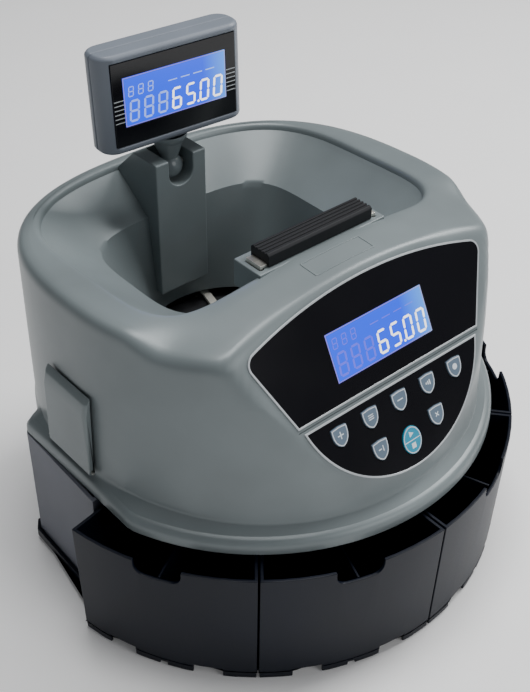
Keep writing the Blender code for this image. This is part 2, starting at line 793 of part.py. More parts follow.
def add_handle_ledge(housing):
    low = (-LEDGE_HALF_WIDTH, -60 * MM, 226 * MM)
    high = (LEDGE_HALF_WIDTH, LEDGE_REAR_Y, LEDGE_TOP)
    join(housing, box("ledge", low, high))
    top_cut = box(
        "top",
        (-LEDGE_HALF_WIDTH + 2 * MM, HANDLE_Y - HANDLE_WIDTH / 2 - 1 * MM, LEDGE_TOP),
        (LEDGE_HALF_WIDTH - 2 * MM, -20 * MM, 262 * MM),
    )
    cut(housing, top_cut)
    for side in (-1, 1):
        low_x, high_x = sorted((side * 44.6 * MM, side * 47.4 * MM))
        low = (low_x, HANDLE_Y - 7 * MM, 229 * MM)
        cut(housing, box("pocket", low, (high_x, HANDLE_Y + 7 * MM, 250 * MM)))


def add_panel_openings(housing, panel):
    """Pockets for the two overlays, the display window and the key holes."""
    deep = -6 * MM
    for name, outline in (("upper", display_outline()), ("lower", keypad_outline())):
        pocket = plate(name, offset(outline, GAP), -OVERLAY_POCKET, 6 * MM, parent=panel)
        cut(housing, pocket)
    half_u, half_v = LCD_SIZE[0] / 2 + GAP, LCD_SIZE[1] / 2 + GAP
    cut(housing, box("window", (-half_u, -half_v, deep), (half_u, half_v, 6 * MM), parent=panel))
    for outline in key_outlines().values():
        cut(housing, plate("key_hole", offset(outline, 0.35 * MM), deep, 6 * MM, parent=panel))


def latch_bore(side):
    start = (side * LATCH_PIVOT.x, LATCH_Y[0] - 2 * MM, LATCH_PIVOT.z)
    end = (side * LATCH_PIVOT.x, LATCH_Y[1] + 2 * MM, LATCH_PIVOT.z)
    return cylinder("bore", LATCH_PIN_RADIUS + GAP, start, end, 10)


def add_latch_mounts(housing):
    """Two small ears on each side that carry the latch's pin."""
    for side in (-1, 1):
        for y in (LATCH_Y[0] - 3.3 * MM, LATCH_Y[1] + 0.3 * MM):
            low_x, high_x = sorted((side * 142 * MM, side * 150.2 * MM))
            ear = box("ear", (low_x, y, 112.3 * MM), (high_x, y + 3 * MM, 120 * MM))
            join(housing, ear)
        cut(housing, latch_bore(side))


def make_housing(root, panel):
    housing = loft("upper_housing", housing_rings(), "housing_grey", root, closed=True)
    add_display_post(housing)
    add_handle_ledge(housing)
    add_panel_openings(housing, panel)
    add_latch_mounts(housing)
    for side in (-1, 1):
        knuckle_ends = (side * 34.4 * MM, side * 46 * MM)
        relief_ends = (side * 21 * MM, side * 34.2 * MM)
        cut(housing, hinge_relief(relief_ends))
        join(housing, hinge_knuckle(knuckle_ends, 1))
        cut(housing, hinge_bore(knuckle_ends))
    set_origin(housing, (0, HINGE_Y, HINGE_Z))


# ---------------------------------------------------------------- panel pieces


def display_outline():
    """The upper overlay: an arched top, slanting sides and a straight lower edge."""
    corner = [(75.5, -27.0), (95.0, 17.2), (95.3, 20.2), (93.4, 23.1)]
    right = [(u * MM, v * MM) for u, v in corner]
    return mirrored(right + arc(300 * MM, 72.7, 90, 6, (0, -261.5 * MM)))


def keypad_outline():
    """The lower overlay: a straight top and a wide arc below."""
    return mirrored(arc(75 * MM, -90, -16, 11, (0, -11.5 * MM)))


def shield(centre, size):
    """A shield-shaped key: a flat top whose sides curve down to a point."""
    half = size / 2
    right = [(0, -1.12), (0.5, -0.86), (0.86, -0.45), (1, 0.1), (1, 0.9), (0, 1)]
    return [(centre[0] + half * u, centre[1] + half * v) for u, v in mirrored(right)]


def oval(centre, width, height, steps=20):
    points = []
    for i in range(steps):
        angle = 2 * math.pi * i / steps
        points.append((centre[0] + width / 2 * math.cos(angle), centre[1] + height / 2 * math.sin(angle)))
    return points


def key_outlines():
    keys = {name: shield((u * MM, v * MM), KEY_SIZE) for name, (u, v) in KEYS.items()}
    centre = (START_KEY[0] * MM, START_KEY[1] * MM)
    keys["key_start_stop"] = oval(centre, *START_KEY_SIZE)
    return keys


def make_keys(panel):
    for name, outline in key_outlines().items():
        middle = sum((Vector(p) for p in outline), Vector((0, 0))) / len(outline)
        levels = [(-9.4, 0.6), (-5.6, 0.6), (-5.6, 1.1), (-4.4, 1.1), (-4.4, 1.0), (1.0, 1.0), (1.3, 0.94)]
        rings = []
        for w, scale in levels:
            rings.append([(*(middle + (Vector(p) - middle) * scale), w * MM) for p in outline])
        paint = "key_cyan" if name == "key_start_stop" else "key_blue"
        key = loft(name, rings, paint, panel)
        set_origin(key, (*middle, 0))


def make_panel(panel):
    low, high = OVERLAY_PROUD - OVERLAY_THICK, OVERLAY_PROUD
    upper = plate("display_overlay", display_outline(), low, high, "black_gloss", panel)
    half_u, half_v = LCD_SIZE[0] / 2 + GAP, LCD_SIZE[1] / 2 + GAP
    cut(upper, box("window", (-half_u, -half_v, -5 * MM), (half_u, half_v, 5 * MM), parent=panel))
    lower = plate("keypad_overlay", keypad_outline(), low, high, "black_gloss", panel)
    for outline in key_outlines().values():
        cut(lower, plate("key_hole", offset(outline, 0.35 * MM), -5 * MM, 5 * MM, parent=panel))
    lcd_low = (-LCD_SIZE[0] / 2, -LCD_SIZE[1] / 2, BOARD_W + 1.6 * MM + GAP)
    box("main_lcd", lcd_low, (LCD_SIZE[0] / 2, LCD_SIZE[1] / 2, 0.3 * MM), "lcd_blue", panel)
    board = [(50, -74), (80, -18), (80, 27), (-80, 27), (-80, -18), (-50, -74)]
    outline = [(u * MM, v * MM) for u, v in board]
    plate("control_board", outline, BOARD_W, BOARD_W + 1.6 * MM, "board_green", panel)
    make_keys(panel)


# ---------------------------------------------------------------- handle and latches


def make_handle(root):
    """A steel strap whose bent ends slide in the ledge's pockets, under a ribbed rubber grip."""
    half, width = HANDLE_LENGTH / 2, HANDLE_WIDTH / 2
    strap_low, strap_top = LEDGE_TOP + GAP, LEDGE_TOP + 2.3 * MM
    shoulder, bevel, groove = 1.5 * MM, 1.5 * MM, 0.9 * MM
    land = (HANDLE_WIDTH - 2 * bevel) / 9
    channel = 6.5 * MM + GAP
    section = [(-channel, strap_top + GAP), (-channel, strap_low), (-width, strap_low)]
    section += [(-width, HANDLE_TOP - shoulder), (-width + bevel, HANDLE_TOP)]
    for i in range(1, 9, 2):
        start = -width + bevel + land * i
        section += [(start, HANDLE_TOP), (start, HANDLE_TOP - groove)]
        section += [(start + land, HANDLE_TOP - groove), (start + land, HANDLE_TOP)]
    section += [(width - bevel, HANDLE_TOP), (width, HANDLE_TOP - shoulder)]
    section += [(width, strap_low), (channel, strap_low), (channel, strap_top + GAP)]
    grip = plate("handle_grip", section, -half, half, "rubber", root)
    grip.matrix_local = Matrix.Translation((0, HANDLE_Y, 0)) @ ACROSS

    reach, deep = 47 * MM, 6.5 * MM
    strap = box("handle_strap", (-reach, -deep, strap_low), (reach, deep, strap_top), "steel", root)
    for side in (-1, 1):
        low_x, high_x = sorted((side * 45 * MM, side * reach))
        join(strap, box("leg", (low_x, -deep, 231 * MM), (high_x, deep, strap_top - 0.5 * MM)))
    strap.location.y = HANDLE_Y


def make_latches(root):
    """Side latches: wedges that lie against the leaning wall and swing out about a pin at their foot."""
    (front, back), (low, high) = LATCH_Y, LATCH_Z
    inner_low, inner_high, face = 146.7 * MM, 144.7 * MM, LATCH_FACE_X
    section = [
        (inner_low + 1.3 * MM, low),
        (face, low),
        (face, high - 12 * MM),
        (face - 2 * MM, high - 4 * MM),
        (inner_high, high),
        (inner_low, low + 4 * MM),
        (inner_low + 0.3 * MM, low + 1.2 * MM),
    ]
    for name, side in (("left", -1), ("right", 1)):
        rings = []
        for y, trim in ((front, 1.2), (front + 3 * MM, 0), (back - 3 * MM, 0), (back, 1.2)):
            ring = []
            for x, z in section:
                near_face = x > face - 3 * MM and z > low + 5 * MM
                ring.append((side * (x - trim * MM if near_face else x), y, z))
            rings.append(ring)
        latch = loft("latch_" + name, rings, "housing_grey", root)
        cut(latch, latch_bore(side))
        pivot = Vector((side * LATCH_PIVOT.x, 0, LATCH_PIVOT.z))
        set_origin(latch, pivot)
        start = pivot + Vector((0, front - 1.7 * MM, 0))
        end = pivot + Vector((0, back + 1.7 * MM, 0))
        pin = cylinder("latch_pin_" + name, LATCH_PIN_RADIUS, start, end, 10, "steel", root)
        set_origin(pin, pivot)


# ---------------------------------------------------------------- customer display


def make_display(root):
    stalk_frame = make_empty("stalk_frame", Matrix.Translation(PIVOT), root)
    make_stalk(stalk_frame)
    reach = Vector((16.5 * MM, 0, 0))
    pin = cylinder("display_pin", STALK_PIN_RADIUS, PIVOT - reach, PIVOT + reach, 12, "steel", root)
    set_origin(pin, PIVOT)

    yaw = Matrix.Rotation(math.radians(HEAD_YAW), 4, "Z")
    lean = Matrix.Rotation(math.radians(-HEAD_LEAN), 4, "X")
    place = Matrix.Translation((0, PIVOT.y, HEAD_BOTTOM + HEAD_HEIGHT / 2))
    head = make_empty("head_frame", place @ yaw @ lean, root)
    make_head(head)


def make_stalk(frame):
    ball = 8.7 * MM
    bm = bmesh.new()
    bmesh.ops.create_uvsphere(bm, u_segments=20, v_segments=12, radius=ball)
    stalk = add_object("display_stalk", mesh_from(bm, "display_stalk"), "housing_grey", frame)
    profile = [(8.4, 2.0), (8.6, 11.0), (11.5, 21.5), (13.0, 23.0), (13.0, 25.0)]
    rings = []
    for radius, z in profile:
        rings.append([(x, y, z * MM) for x, y in arc(radius * MM, 0, 345, 23)])
    join(stalk, loft("neck", rings, parent=frame))
    start, end = (-20 * MM, 0, 0), (20 * MM, 0, 0)
    cut(stalk, cylinder("bore", STALK_PIN_RADIUS + GAP, start, end, 12, parent=frame))


def half_plan(half_x, half_y, corner, side):
    """Half of a rounded rectangle, cut along its long middle line."""
    line = side * 0.15 * MM
    if side < 0:
        points = arc(corner, 180, 270, 5, (-half_x + corner, -half_y + corner))
        points += arc(corner, 270, 360, 5, (half_x - corner, -half_y + corner))
        return points + [(half_x, line), (-half_x, line)]
    points = arc(corner, 0, 90, 5, (half_x - corner, half_y - corner))
    points += arc(corner, 90, 180, 5, (-half_x + corner, half_y - corner))
    return points + [(-half_x, line), (half_x, line)]


def make_head(head):
    """Two half shells that meet in the middle, the window, its display and the board behind it."""
    half_x, half_y, half_z = HEAD_WIDTH / 2, HEAD_DEPTH / 2, HEAD_HEIGHT / 2
    wall = 2.2 * MM
    for name, side in (("display_front_shell", -1), ("display_back_shell", 1)):
        plan = half_plan(half_x, half_y, HEAD_CORNER, side)
        trims = ((-half_z, 2), (-half_z + 2 * MM, 0), (half_z - 2 * MM, 0), (half_z, 2))
        rings = []
        for z, trim in trims:
            ring = []
            for (x, y), (in_x, in_y) in zip(plan, offset(plan, -trim * MM)):
                keep = abs(y) < 1 * MM
                ring.append((in_x, y if keep else in_y, z))
            rings.append(ring)
        shell = loft(name, rings, "housing_grey", head)
        hollow_plan = half_plan(half_x - wall, half_y - wall, HEAD_CORNER - wall, side)
        hollow_plan = [(x, y if abs(y) > 1 * MM else -side * 2 * MM) for x, y in hollow_plan]
        cut(shell, plate("hollow", hollow_plan, -half_z + wall, half_z - wall, parent=head))
        if side < 0:
            u, v = WINDOW_SIZE[0] / 2 + GAP, WINDOW_SIZE[1] / 2 + GAP
            cut(shell, box("opening", (-u, -half_y - 5 * MM, -v), (u, -half_y + 5 * MM, v), parent=head))
    u, v = WINDOW_SIZE[0] / 2, WINDOW_SIZE[1] / 2
    face = -half_y + 0.2 * MM
    window = box("display_window", (-u, face, -v), (u, face + 1.8 * MM, v), "black_gloss", head)
    lcd_u, lcd_v = HEAD_LCD_SIZE[0] / 2, HEAD_LCD_SIZE[1] / 2
    hole_u, hole_v = lcd_u + GAP, lcd_v + GAP
    rise = 1.1 * MM
    hole_low = (-hole_u, -half_y - 5 * MM, rise - hole_v)
    cut(window, box("hole", hole_low, (hole_u, -half_y + 5 * MM, rise + hole_v), parent=head))
    lcd_low = (-lcd_u, face + 0.2 * MM, rise - lcd_v)
    box("display_lcd", lcd_low, (lcd_u, face + 7 * MM, rise + lcd_v), "lcd_blue", head)
    board_low = (-44 * MM, face + 7.3 * MM, -25 * MM)
    box("display_board", board_low, (44 * MM, face + 8.9 * MM, 25 * MM), "board_green", head)


# ---------------------------------------------------------------- sorting mechanism and drive


def make_mech_plate(root):
    half = arc(CORE_RADIUS + 2 * MM, -90, -8, 14) + [(140 * MM, -14.5 * MM), (141 * MM, 10 * MM)]
    half += [(x, y) for x, y in rear_arc(-6 * MM) if x >= -1e-9]
    mech = plate("mech_plate", mirrored(half), *PLATE_Z, paint="aluminium", parent=root)
    cut(mech, cylinder("hole", 9 * MM, (0, 0, 90 * MM), (0, 0, 120 * MM), 24))


def make_sorter(root):
    ring_low, ring_high = RING_Z
    inner, outer = 100 * MM, RING_RADIUS
    profile = [
        (outer, RING_FENCE),
        (outer, ring_low),
        (inner, ring_low),
        (inner, ring_high),
        (outer - 2.5 * MM, ring_high),
        (outer - 2.5 * MM, RING_FENCE),
    ]
    rings = [[(x, y, z) for x, y in arc(radius, 0, 355, 71)] for radius, z in profile]
    ring = loft("sort_ring", rings, "aluminium", root, closed=True)
    chute_plan = ring_sector(CORE_RADIUS + 4 * MM, RING_RADIUS, -170.5, -9.5, 32)
    chutes = plate("chute_ring", chute_plan, 98 * MM, ring_low - GAP, "charcoal", root)
    first = -90 - CUP_PITCH * CUP_COUNT / 2
    for i in range(2 * CUP_COUNT):
        middle = first + CUP_PITCH * (i + 0.5) / 2
        cell = ring_sector(CORE_RADIUS + 6.5 * MM, RING_RADIUS - 2.5 * MM, middle - 8.9, middle + 8.9, 4)
        cut(chutes, plate("cell", cell, 90 * MM, 115 * MM))
        width = 17 + 1.3 * i
        slot = ring_sector(outer - 4 * MM - width * MM, outer - 4 * MM, middle - 6.5, middle + 6.5, 3)
        cut(ring, plate("slot", slot, 105 * MM, 112 * MM))
    sensor_low = (-96 * MM, 60 * MM, PLATE_Z[1] + GAP)
    box("coin_sensor", sensor_low, (-76 * MM, 84 * MM, ring_low - GAP), "copper", root)

    disc_low, disc_high = DISC_Z
    seat = SHAFT_RADIUS + GAP
    disc_profile = [
        (DISC_RADIUS, disc_high),
        (DISC_RADIUS, disc_low),
        (16 * MM, disc_low),
        (16 * MM, disc_low - 6 * MM),
        (seat, disc_low - 6 * MM),
        (seat, disc_high),
    ]
    turned("sorting_disc", disc_profile, sides=48, paint="aluminium", parent=root)
    mat_profile = [(92, 116.2), (92, 114.3), (20, 114.3), (20, 116.2)]
    mat_points = [(radius * MM, z * MM) for radius, z in mat_profile]
    turned("disc_mat", mat_points, sides=40, paint="rubber", parent=root)
    make_pusher(root, seat)


def make_pusher(root, seat):
    """The wheel whose six arms push the coins round the sorting ring, with its domed hub."""
    low, high = 118 * MM, 121 * MM
    circle = arc(19 * MM, 0, 345, 23)
    wheel = plate("pusher_wheel", circle, low, high, "white_plastic", root)
    for i in range(6):
        arm = box("arm", (12 * MM, -3 * MM, low), (127 * MM, 3 * MM, high - 0.4 * MM))
        join(arm, box("finger", (103 * MM, -3.4 * MM, 112 * MM), (127.5 * MM, 3.4 * MM, 119 * MM)))
        arm.rotation_euler.z = math.radians(60 * i + 15)
        join(wheel, arm)
    join(wheel, plate("sleeve", arc(14 * MM, 0, 345, 23), DISC_Z[1] + GAP, 119 * MM))
    cap = [(0, 131.0), (5, 130.2), (9, 127.6), (11, 124.0), (11, 119.5), (0, 119.5)]
    join(wheel, turned("cap", [(radius * MM, z * MM) for radius, z in cap], sides=24))
    cut(wheel, cylinder("hole", seat, (0, 0, 100 * MM), (0, 0, 121.3 * MM), 20))


def make_drive(root):
    low, high = PULLEY_Z
    seat = SHAFT_RADIUS + GAP
    cylinder("drive_shaft", SHAFT_RADIUS, (0, 0, 70 * MM), (0, 0, 121 * MM), 20, "steel", root)
    bearing = 11 * MM
    holder = [(19, 101.2), (19, 96.0), (17, 94.0), (17, 85.5), (bearing / MM + 0.3, 85.5)]
    holder += [(bearing / MM + 0.3, 101.2)]
    holder_points = [(radius * MM, z * MM) for radius, z in holder]
    turned("bearing_housing", holder_points, paint="aluminium", parent=root)
    for name, bottom in (("lower_bearing", 86.0), ("upper_bearing", 94.5)):
        ring = [(bearing, (bottom + 6) * MM), (bearing, bottom * MM), (seat, bottom * MM)]
        ring += [(seat, (bottom + 6) * MM)]
        turned(name, ring, sides=24, paint="steel", parent=root)
    wheel = [
        (PULLEY_RADIUS, high),
        (PULLEY_RADIUS, low),
        (seat, low),
        (seat, high),
    ]
    turned("driven_pulley", wheel, sides=40, paint="white_plastic", parent=root)

    axis = (0, MOTOR_Y)
    small = [(0, high), (MOTOR_PULLEY_RADIUS, high), (MOTOR_PULLEY_RADIUS, low)]
    small += [(3 * MM, low), (3 * MM, 63 * MM), (0, 63 * MM)]
    turned("motor_pulley", small, axis, 24, "white_plastic", root)
    can = [
        (MOTOR_RADIUS, 66 * MM),
        (MOTOR_RADIUS, 16 * MM),
        (8 * MM, 16 * MM),
        (8 * MM, 12 * MM),
        (3.3 * MM, 12 * MM),
        (3.3 * MM, 66 * MM),
    ]
    turned("motor", can, axis, 32, "steel", root)
    bracket_low, bracket_high = (-34 * MM, 55 * MM, 66.3 * MM), (34 * MM, 113 * MM, 68.5 * MM)
    bracket = box("motor_bracket", bracket_low, bracket_high, "aluminium", root)
    for side in (-1, 1):
        low_x, high_x = sorted((side * 31.8 * MM, side * 34 * MM))
        join(bracket, box("leg", (low_x, 60 * MM, 67 * MM), (high_x, 108 * MM, PLATE_Z[0] - GAP)))
    cut(bracket, cylinder("hole", 8 * MM, (0, MOTOR_Y, 50 * MM), (0, MOTOR_Y, 80 * MM), 20))
    inner = belt_loop(PULLEY_RADIUS + GAP, 0, MOTOR_PULLEY_RADIUS + GAP, MOTOR_Y)
    thick = GAP + 1.5 * MM
    outer = belt_loop(PULLEY_RADIUS + thick, 0, MOTOR_PULLEY_RADIUS + thick, MOTOR_Y)
    rings = [
        [(x, y, low + 1 * MM) for x, y in inner],
        [(x, y, low + 1 * MM) for x, y in outer],
        [(x, y, high - 1 * MM) for x, y in outer],
        [(x, y, high - 1 * MM) for x, y in inner],
    ]
    loft("drive_belt", rings, "rubber", root, closed=True)


def socket_body(name, corners, depth_y, margin, root, paint):
    """A block that fits a hole in the back wall, with a lip on the pad and a well in its face."""
    (x0, z0), (x1, z1) = corners
    body = box(name, (x0, depth_y, z0), (x1, LIP_Y[1], z1), paint, root)
    lip_low = (x0 - margin, LIP_Y[0], z0 - margin)
    join(body, box("lip", lip_low, (x1 + margin, LIP_Y[1], z1 + margin)))
    wall = 2 * MM
    well_low = (x0 + wall, depth_y + 6 * MM, z0 + wall)
    return cut(body, box("well", well_low, (x1 - wall, 150 * MM, z1 - wall)))


def make_electrics(root):
    floor = PAN_FLOOR + GAP
    core_low, core_high = (-128 * MM, 30 * MM, floor), (-72 * MM, 74 * MM, 52 * MM)
    transformer = box("transformer", core_low, core_high, "steel", root)
    join(transformer, box("coil", (-120 * MM, 24 * MM, 14 * MM), (-80 * MM, 80 * MM, 44 * MM)))
    board_low, board_high = (44 * MM, 14 * MM, 14 * MM), (120 * MM, 72 * MM, 15.6 * MM)
    board = box("power_board", board_low, board_high, "board_green", root)
    join(board, box("sink", (54 * MM, 18 * MM, 15 * MM), (66 * MM, 68 * MM, 42 * MM)))
    for x, y in ((82, 32), (104, 32), (93, 56)):
        foot, top = (x * MM, y * MM, 15 * MM), (x * MM, y * MM, 38 * MM)
        join(board, cylinder("can", 8 * MM, foot, top, 14))
    for x in (46, 115):
        join(board, box("stud", (x * MM, 16 * MM, floor), ((x + 3) * MM, 70 * MM, 15 * MM)))

    inlet = socket_body("power_inlet", INLET, 118 * MM, 3 * MM, root, "black_gloss")
    middle_x = (INLET[0][0] + INLET[1][0]) / 2
    middle_z = (INLET[0][1] + INLET[1][1]) / 2
    for across, up in ((-7, 1.5), (0, -2.5), (7, 1.5)):
        x, z = middle_x + across * MM, middle_z + up * MM
        low, high = (x - 1 * MM, 122 * MM, z - 1.5 * MM), (x + 1 * MM, 137 * MM, z + 1.5 * MM)
        join(inlet, box("blade", low, high))
    socket_body("switch_frame", SWITCH, 122 * MM, 2 * MM, root, "black_gloss")
    socket_body("data_socket", DATA_SOCKET, 122 * MM, 1.5 * MM, root, "steel")
    make_rocker(root)


def make_rocker(root):
    """The power switch's rocker about its middle, tilted so that its lower end stands out."""
    tilt = math.radians(ROCKER_TILT)
    outline = []
    for y, z in ((-3, -4), (8, -9), (6.6, 0), (8, 9), (-3, 4)):
        back = y * math.cos(tilt) - z * math.sin(tilt)
        up = z * math.cos(tilt) + y * math.sin(tilt)
        outline.append((back * MM, up * MM))
    (x0, z0), (x1, z1) = SWITCH
    clear = 2 * MM + GAP
    rocker = plate("power_rocker", outline, x0 + clear, x1 - clear, "black_gloss", root)
    rocker.matrix_local = Matrix.Translation((0, ROCKER_Y, (z0 + z1) / 2)) @ ACROSS


# ---------------------------------------------------------------- assembly


def panel_matrix():
    slope = math.radians(PANEL_SLOPE)
    u = Vector((1, 0, 0))
    v = Vector((0, math.cos(slope), math.sin(slope)))
    w = Vector((0, -math.sin(slope), math.cos(slope)))
    frame = Matrix((u, v, w)).transposed().to_4x4()
    return Matrix.Translation(PANEL_CENTRE) @ frame


clear_scene()
MACHINE = make_collection("coin_sorting_machine")
make_materials()
ROOT = make_empty("drum_axis", Matrix.Identity(4))
PANEL = make_empty("panel_frame", panel_matrix(), ROOT)
make_pan(ROOT)
make_feet(ROOT)
make_base(ROOT)
make_cups(ROOT)
make_housing(ROOT, PANEL)
make_hinge_pins(ROOT)
make_panel(PANEL)
make_handle(ROOT)
make_latches(ROOT)
make_display(ROOT)
make_mech_plate(ROOT)
make_sorter(ROOT)
make_drive(ROOT)
make_electrics(ROOT)
ROOT.location.y = DRUM_Y
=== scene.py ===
# %% [markdown]
# # A coin sorting machine
# Coins tipped into the hopper slide to a turning disc, which drops each size into its own cup. The CAD
# model is loaded as a fixed frame, and every visible piece is then made again around it with softer edges
# and real finishes. Lengths are in metres, so a small named unit keeps the numbers readable.

# %% Load the frame
import math

import bpy
from mathutils import Matrix, Vector


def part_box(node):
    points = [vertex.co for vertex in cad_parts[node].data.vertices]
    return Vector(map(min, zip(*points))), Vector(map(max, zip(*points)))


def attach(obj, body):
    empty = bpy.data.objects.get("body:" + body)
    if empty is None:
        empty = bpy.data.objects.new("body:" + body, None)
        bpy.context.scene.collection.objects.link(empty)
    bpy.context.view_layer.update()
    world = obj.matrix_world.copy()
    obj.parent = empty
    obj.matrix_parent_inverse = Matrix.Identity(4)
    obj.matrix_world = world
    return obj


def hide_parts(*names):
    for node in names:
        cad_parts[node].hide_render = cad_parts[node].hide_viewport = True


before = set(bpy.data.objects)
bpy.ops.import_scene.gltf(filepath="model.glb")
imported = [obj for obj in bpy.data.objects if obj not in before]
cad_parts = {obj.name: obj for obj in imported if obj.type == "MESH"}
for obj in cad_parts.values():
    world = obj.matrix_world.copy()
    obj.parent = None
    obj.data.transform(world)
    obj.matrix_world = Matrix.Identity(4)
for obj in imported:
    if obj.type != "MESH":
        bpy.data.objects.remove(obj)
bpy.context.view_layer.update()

MM = 0.001

# %% [markdown]
# Everything on the machine is placed from a few bodies: the drum's axis, the flat instrument panel and the
# customer display's head. The drum's axis runs through the middle of the sorting disc. The panel is a plane
# that leans back, so it gets a frame of its own, with u to the right, v up the slope and w outwards.

# %% Frames to work in
disc_low, disc_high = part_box("sorting_disc")
DRUM_Y = (disc_low[1] + disc_high[1]) / 2
PANEL_SLOPE = math.radians(62)
PANEL_CENTRE = Vector((0, DRUM_Y - 109.4 * MM, 207.4 * MM))
HEAD_CENTRE = Vector((0, DRUM_Y + 93.5 * MM, 292.5 * MM))
HEAD_YAW = math.radians(-4.5)
HEAD_LEAN = math.radians(-2.5)


def panel_plane():
    up = Vector((0, math.cos(PANEL_SLOPE), math.sin(PANEL_SLOPE)))
    out = Vector((0, -math.sin(PANEL_SLOPE), math.cos(PANEL_SLOPE)))
    turn = Matrix((Vector((1, 0, 0)), up, out)).transposed().to_4x4()
    return Matrix.Translation(PANEL_CENTRE) @ turn


def head_plane():
    turn = Matrix.Rotation(HEAD_YAW, 4, "Z") @ Matrix.Rotation(HEAD_LEAN, 4, "X")
    return Matrix.Translation(HEAD_CENTRE) @ turn @ FACING


FACING = Matrix(((1, 0, 0, 0), (0, 0, -1, 0), (0, 1, 0, 0), (0, 0, 0, 1)))
SIDEWAYS = Matrix(((0, 0, 1, 0), (1, 0, 0, 0), (0, 1, 0, 0), (0, 0, 0, 1)))
PANEL = panel_plane()
HEAD = head_plane()
HEAD_FACE = 13 * MM
print("drum axis at y =", round(DRUM_Y / MM, 2), "mm")

# %% [markdown]
# ## Small tools
# Operators act on what is selected, so each tool starts by selecting one piece alone. A finished piece keeps
# its object at the origin, and so a pattern in its material sits still on it.

# %% Selecting, applying and smoothing
SOFT_ANGLE = 32
print("edges under", SOFT_ANGLE, "degrees are shaded smooth")


def pick(piece):
    bpy.ops.object.select_all(action="DESELECT")
    piece.select_set(True)
    bpy.context.view_layer.objects.active = piece


def apply_all(piece):
    pick(piece)
    for step in list(piece.modifiers):
        bpy.ops.object.modifier_apply(modifier=step.name)


def smooth(piece, angle=SOFT_ANGLE):
    """Smooth shading up to an angle, with broad faces kept flat."""
    pick(piece)
    bpy.ops.object.shade_smooth_by_angle(angle=math.radians(angle))
    flat = piece.modifiers.new("Flat faces", "WEIGHTED_NORMAL")
    flat.keep_sharp = True
    apply_all(piece)


def round_edges(piece, width, segments=2, angle=SOFT_ANGLE):
    edge = piece.modifiers.new("Rounded edges", "BEVEL")
    edge.width = width
    edge.segments = segments
    edge.limit_method = "ANGLE"
    edge.angle_limit = math.radians(angle)
    edge.use_clamp_overlap = False
    apply_all(piece)


def dress(piece, paint, body, nodes=()):
    """Gives a finished piece its material and the body it rides on, and hides what it stands for."""
    piece.data.materials.clear()
    piece.data.materials.append(paint)
    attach(piece, body)
    if nodes:
        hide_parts(*nodes)
    sides = [max(axis) - min(axis) for axis in zip(*(vertex.co for vertex in piece.data.vertices))]
    print(piece.name, "is", " x ".join(f"{side / MM:.1f}" for side in sides), "mm")
    return piece


# %% [markdown]
# A flat outline becomes a slab: the outline is one face, extruded in edit mode, then carried onto a plane.
# A strip, such as the silver line round a panel, is two outlines bridged and extruded in the same way.

# %% Slabs and strips


def flat_object(name, points, edges, faces):
    mesh = bpy.data.meshes.new(name)
    mesh.from_pydata([(u, v, 0) for u, v in points], edges, faces)
    piece = bpy.data.objects.new(name, mesh)
    bpy.context.scene.collection.objects.link(piece)
    pick(piece)
    return piece


def raise_faces(piece, low, high, plane):
    """Thickens a flat piece from one height to another and lays it on a plane."""
    bpy.ops.object.mode_set(mode="EDIT")
    bpy.ops.mesh.select_all(action="SELECT")
    bpy.ops.mesh.extrude_region_move(TRANSFORM_OT_translate={"value": (0, 0, high - low)})
    bpy.ops.mesh.select_all(action="SELECT")
    bpy.ops.mesh.normals_make_consistent(inside=False)
    bpy.ops.object.mode_set(mode="OBJECT")
    piece.data.transform(plane @ Matrix.Translation((0, 0, low)))
    return piece


def slab(name, points, low, high, plane):
    piece = flat_object(name, points, [], [range(len(points))])
    return raise_faces(piece, low, high, plane)


def strip(name, outside, inside, low, high, plane):
    count = len(outside)
    loops = [(i, (i + 1) % count) for i in range(count)]
    edges = loops + [(count + a, count + b) for a, b in loops]
    piece = flat_object(name, outside + inside, edges, [])
    bpy.ops.object.mode_set(mode="EDIT")
    bpy.ops.mesh.select_all(action="SELECT")
    bpy.ops.mesh.bridge_edge_loops()
    bpy.ops.object.mode_set(mode="OBJECT")
    return raise_faces(piece, low, high, plane)


def joined(name, pieces):
    """Several small meshes as one piece."""
    pick(pieces[0])
    for piece in pieces[1:]:
        piece.select_set(True)
    if len(pieces) > 1:
        bpy.ops.object.join()
    pieces[0].name = name
    return pieces[0]


# %% [markdown]
# Outlines are lists of points that run anticlockwise. `offset` moves each side of one outwards, `arc` gives
# the round stretches, and `mirrored` completes a symmetric shape from its right half.

# %% Outlines
CORNER_STEPS = 5
print("a rounded outline has", 4 * (CORNER_STEPS + 1), "points")


def arc(radius, start, end, steps, centre=(0, 0)):
    angles = [math.radians(start + (end - start) * i / steps) for i in range(steps + 1)]
    return [(centre[0] + radius * math.cos(a), centre[1] + radius * math.sin(a)) for a in angles]


def mirrored(half):
    return half + [(-x, y) for x, y in reversed(half) if abs(x) > 1e-9]


def offset(outline, distance):
    moved = []
    count = len(outline)
    for i in range(count):
        before, here, after = (Vector(outline[(i + k) % count]) for k in (-1, 0, 1))
        first = (here - before).normalized()
        second = (after - here).normalized()
        normal = Vector((first.y + second.y, -first.x - second.x)).normalized()
        reach = distance / max(0.3, normal.dot(Vector((first.y, -first.x))))
        moved.append(tuple(here + normal * reach))
    return moved


def bar(centre, half_u, half_v, turn=0.0):
    corners = [(half_u, -half_v), (half_u, half_v), (-half_u, half_v), (-half_u, -half_v)]
    wheel = Matrix.Rotation(math.radians(turn), 2)
    return [tuple(Vector(centre) + wheel @ Vector(corner)) for corner in corners]


def rounded(half_u, half_v, corner, centre=(0, 0), steps=CORNER_STEPS):
    points = []
    for quarter, (su, sv) in enumerate(((1, 1), (-1, 1), (-1, -1), (1, -1))):
        middle = (centre[0] + su * (half_u - corner), centre[1] + sv * (half_v - corner))
        points += arc(corner, 90 * quarter, 90 * quarter + 90, steps, middle)
    return points


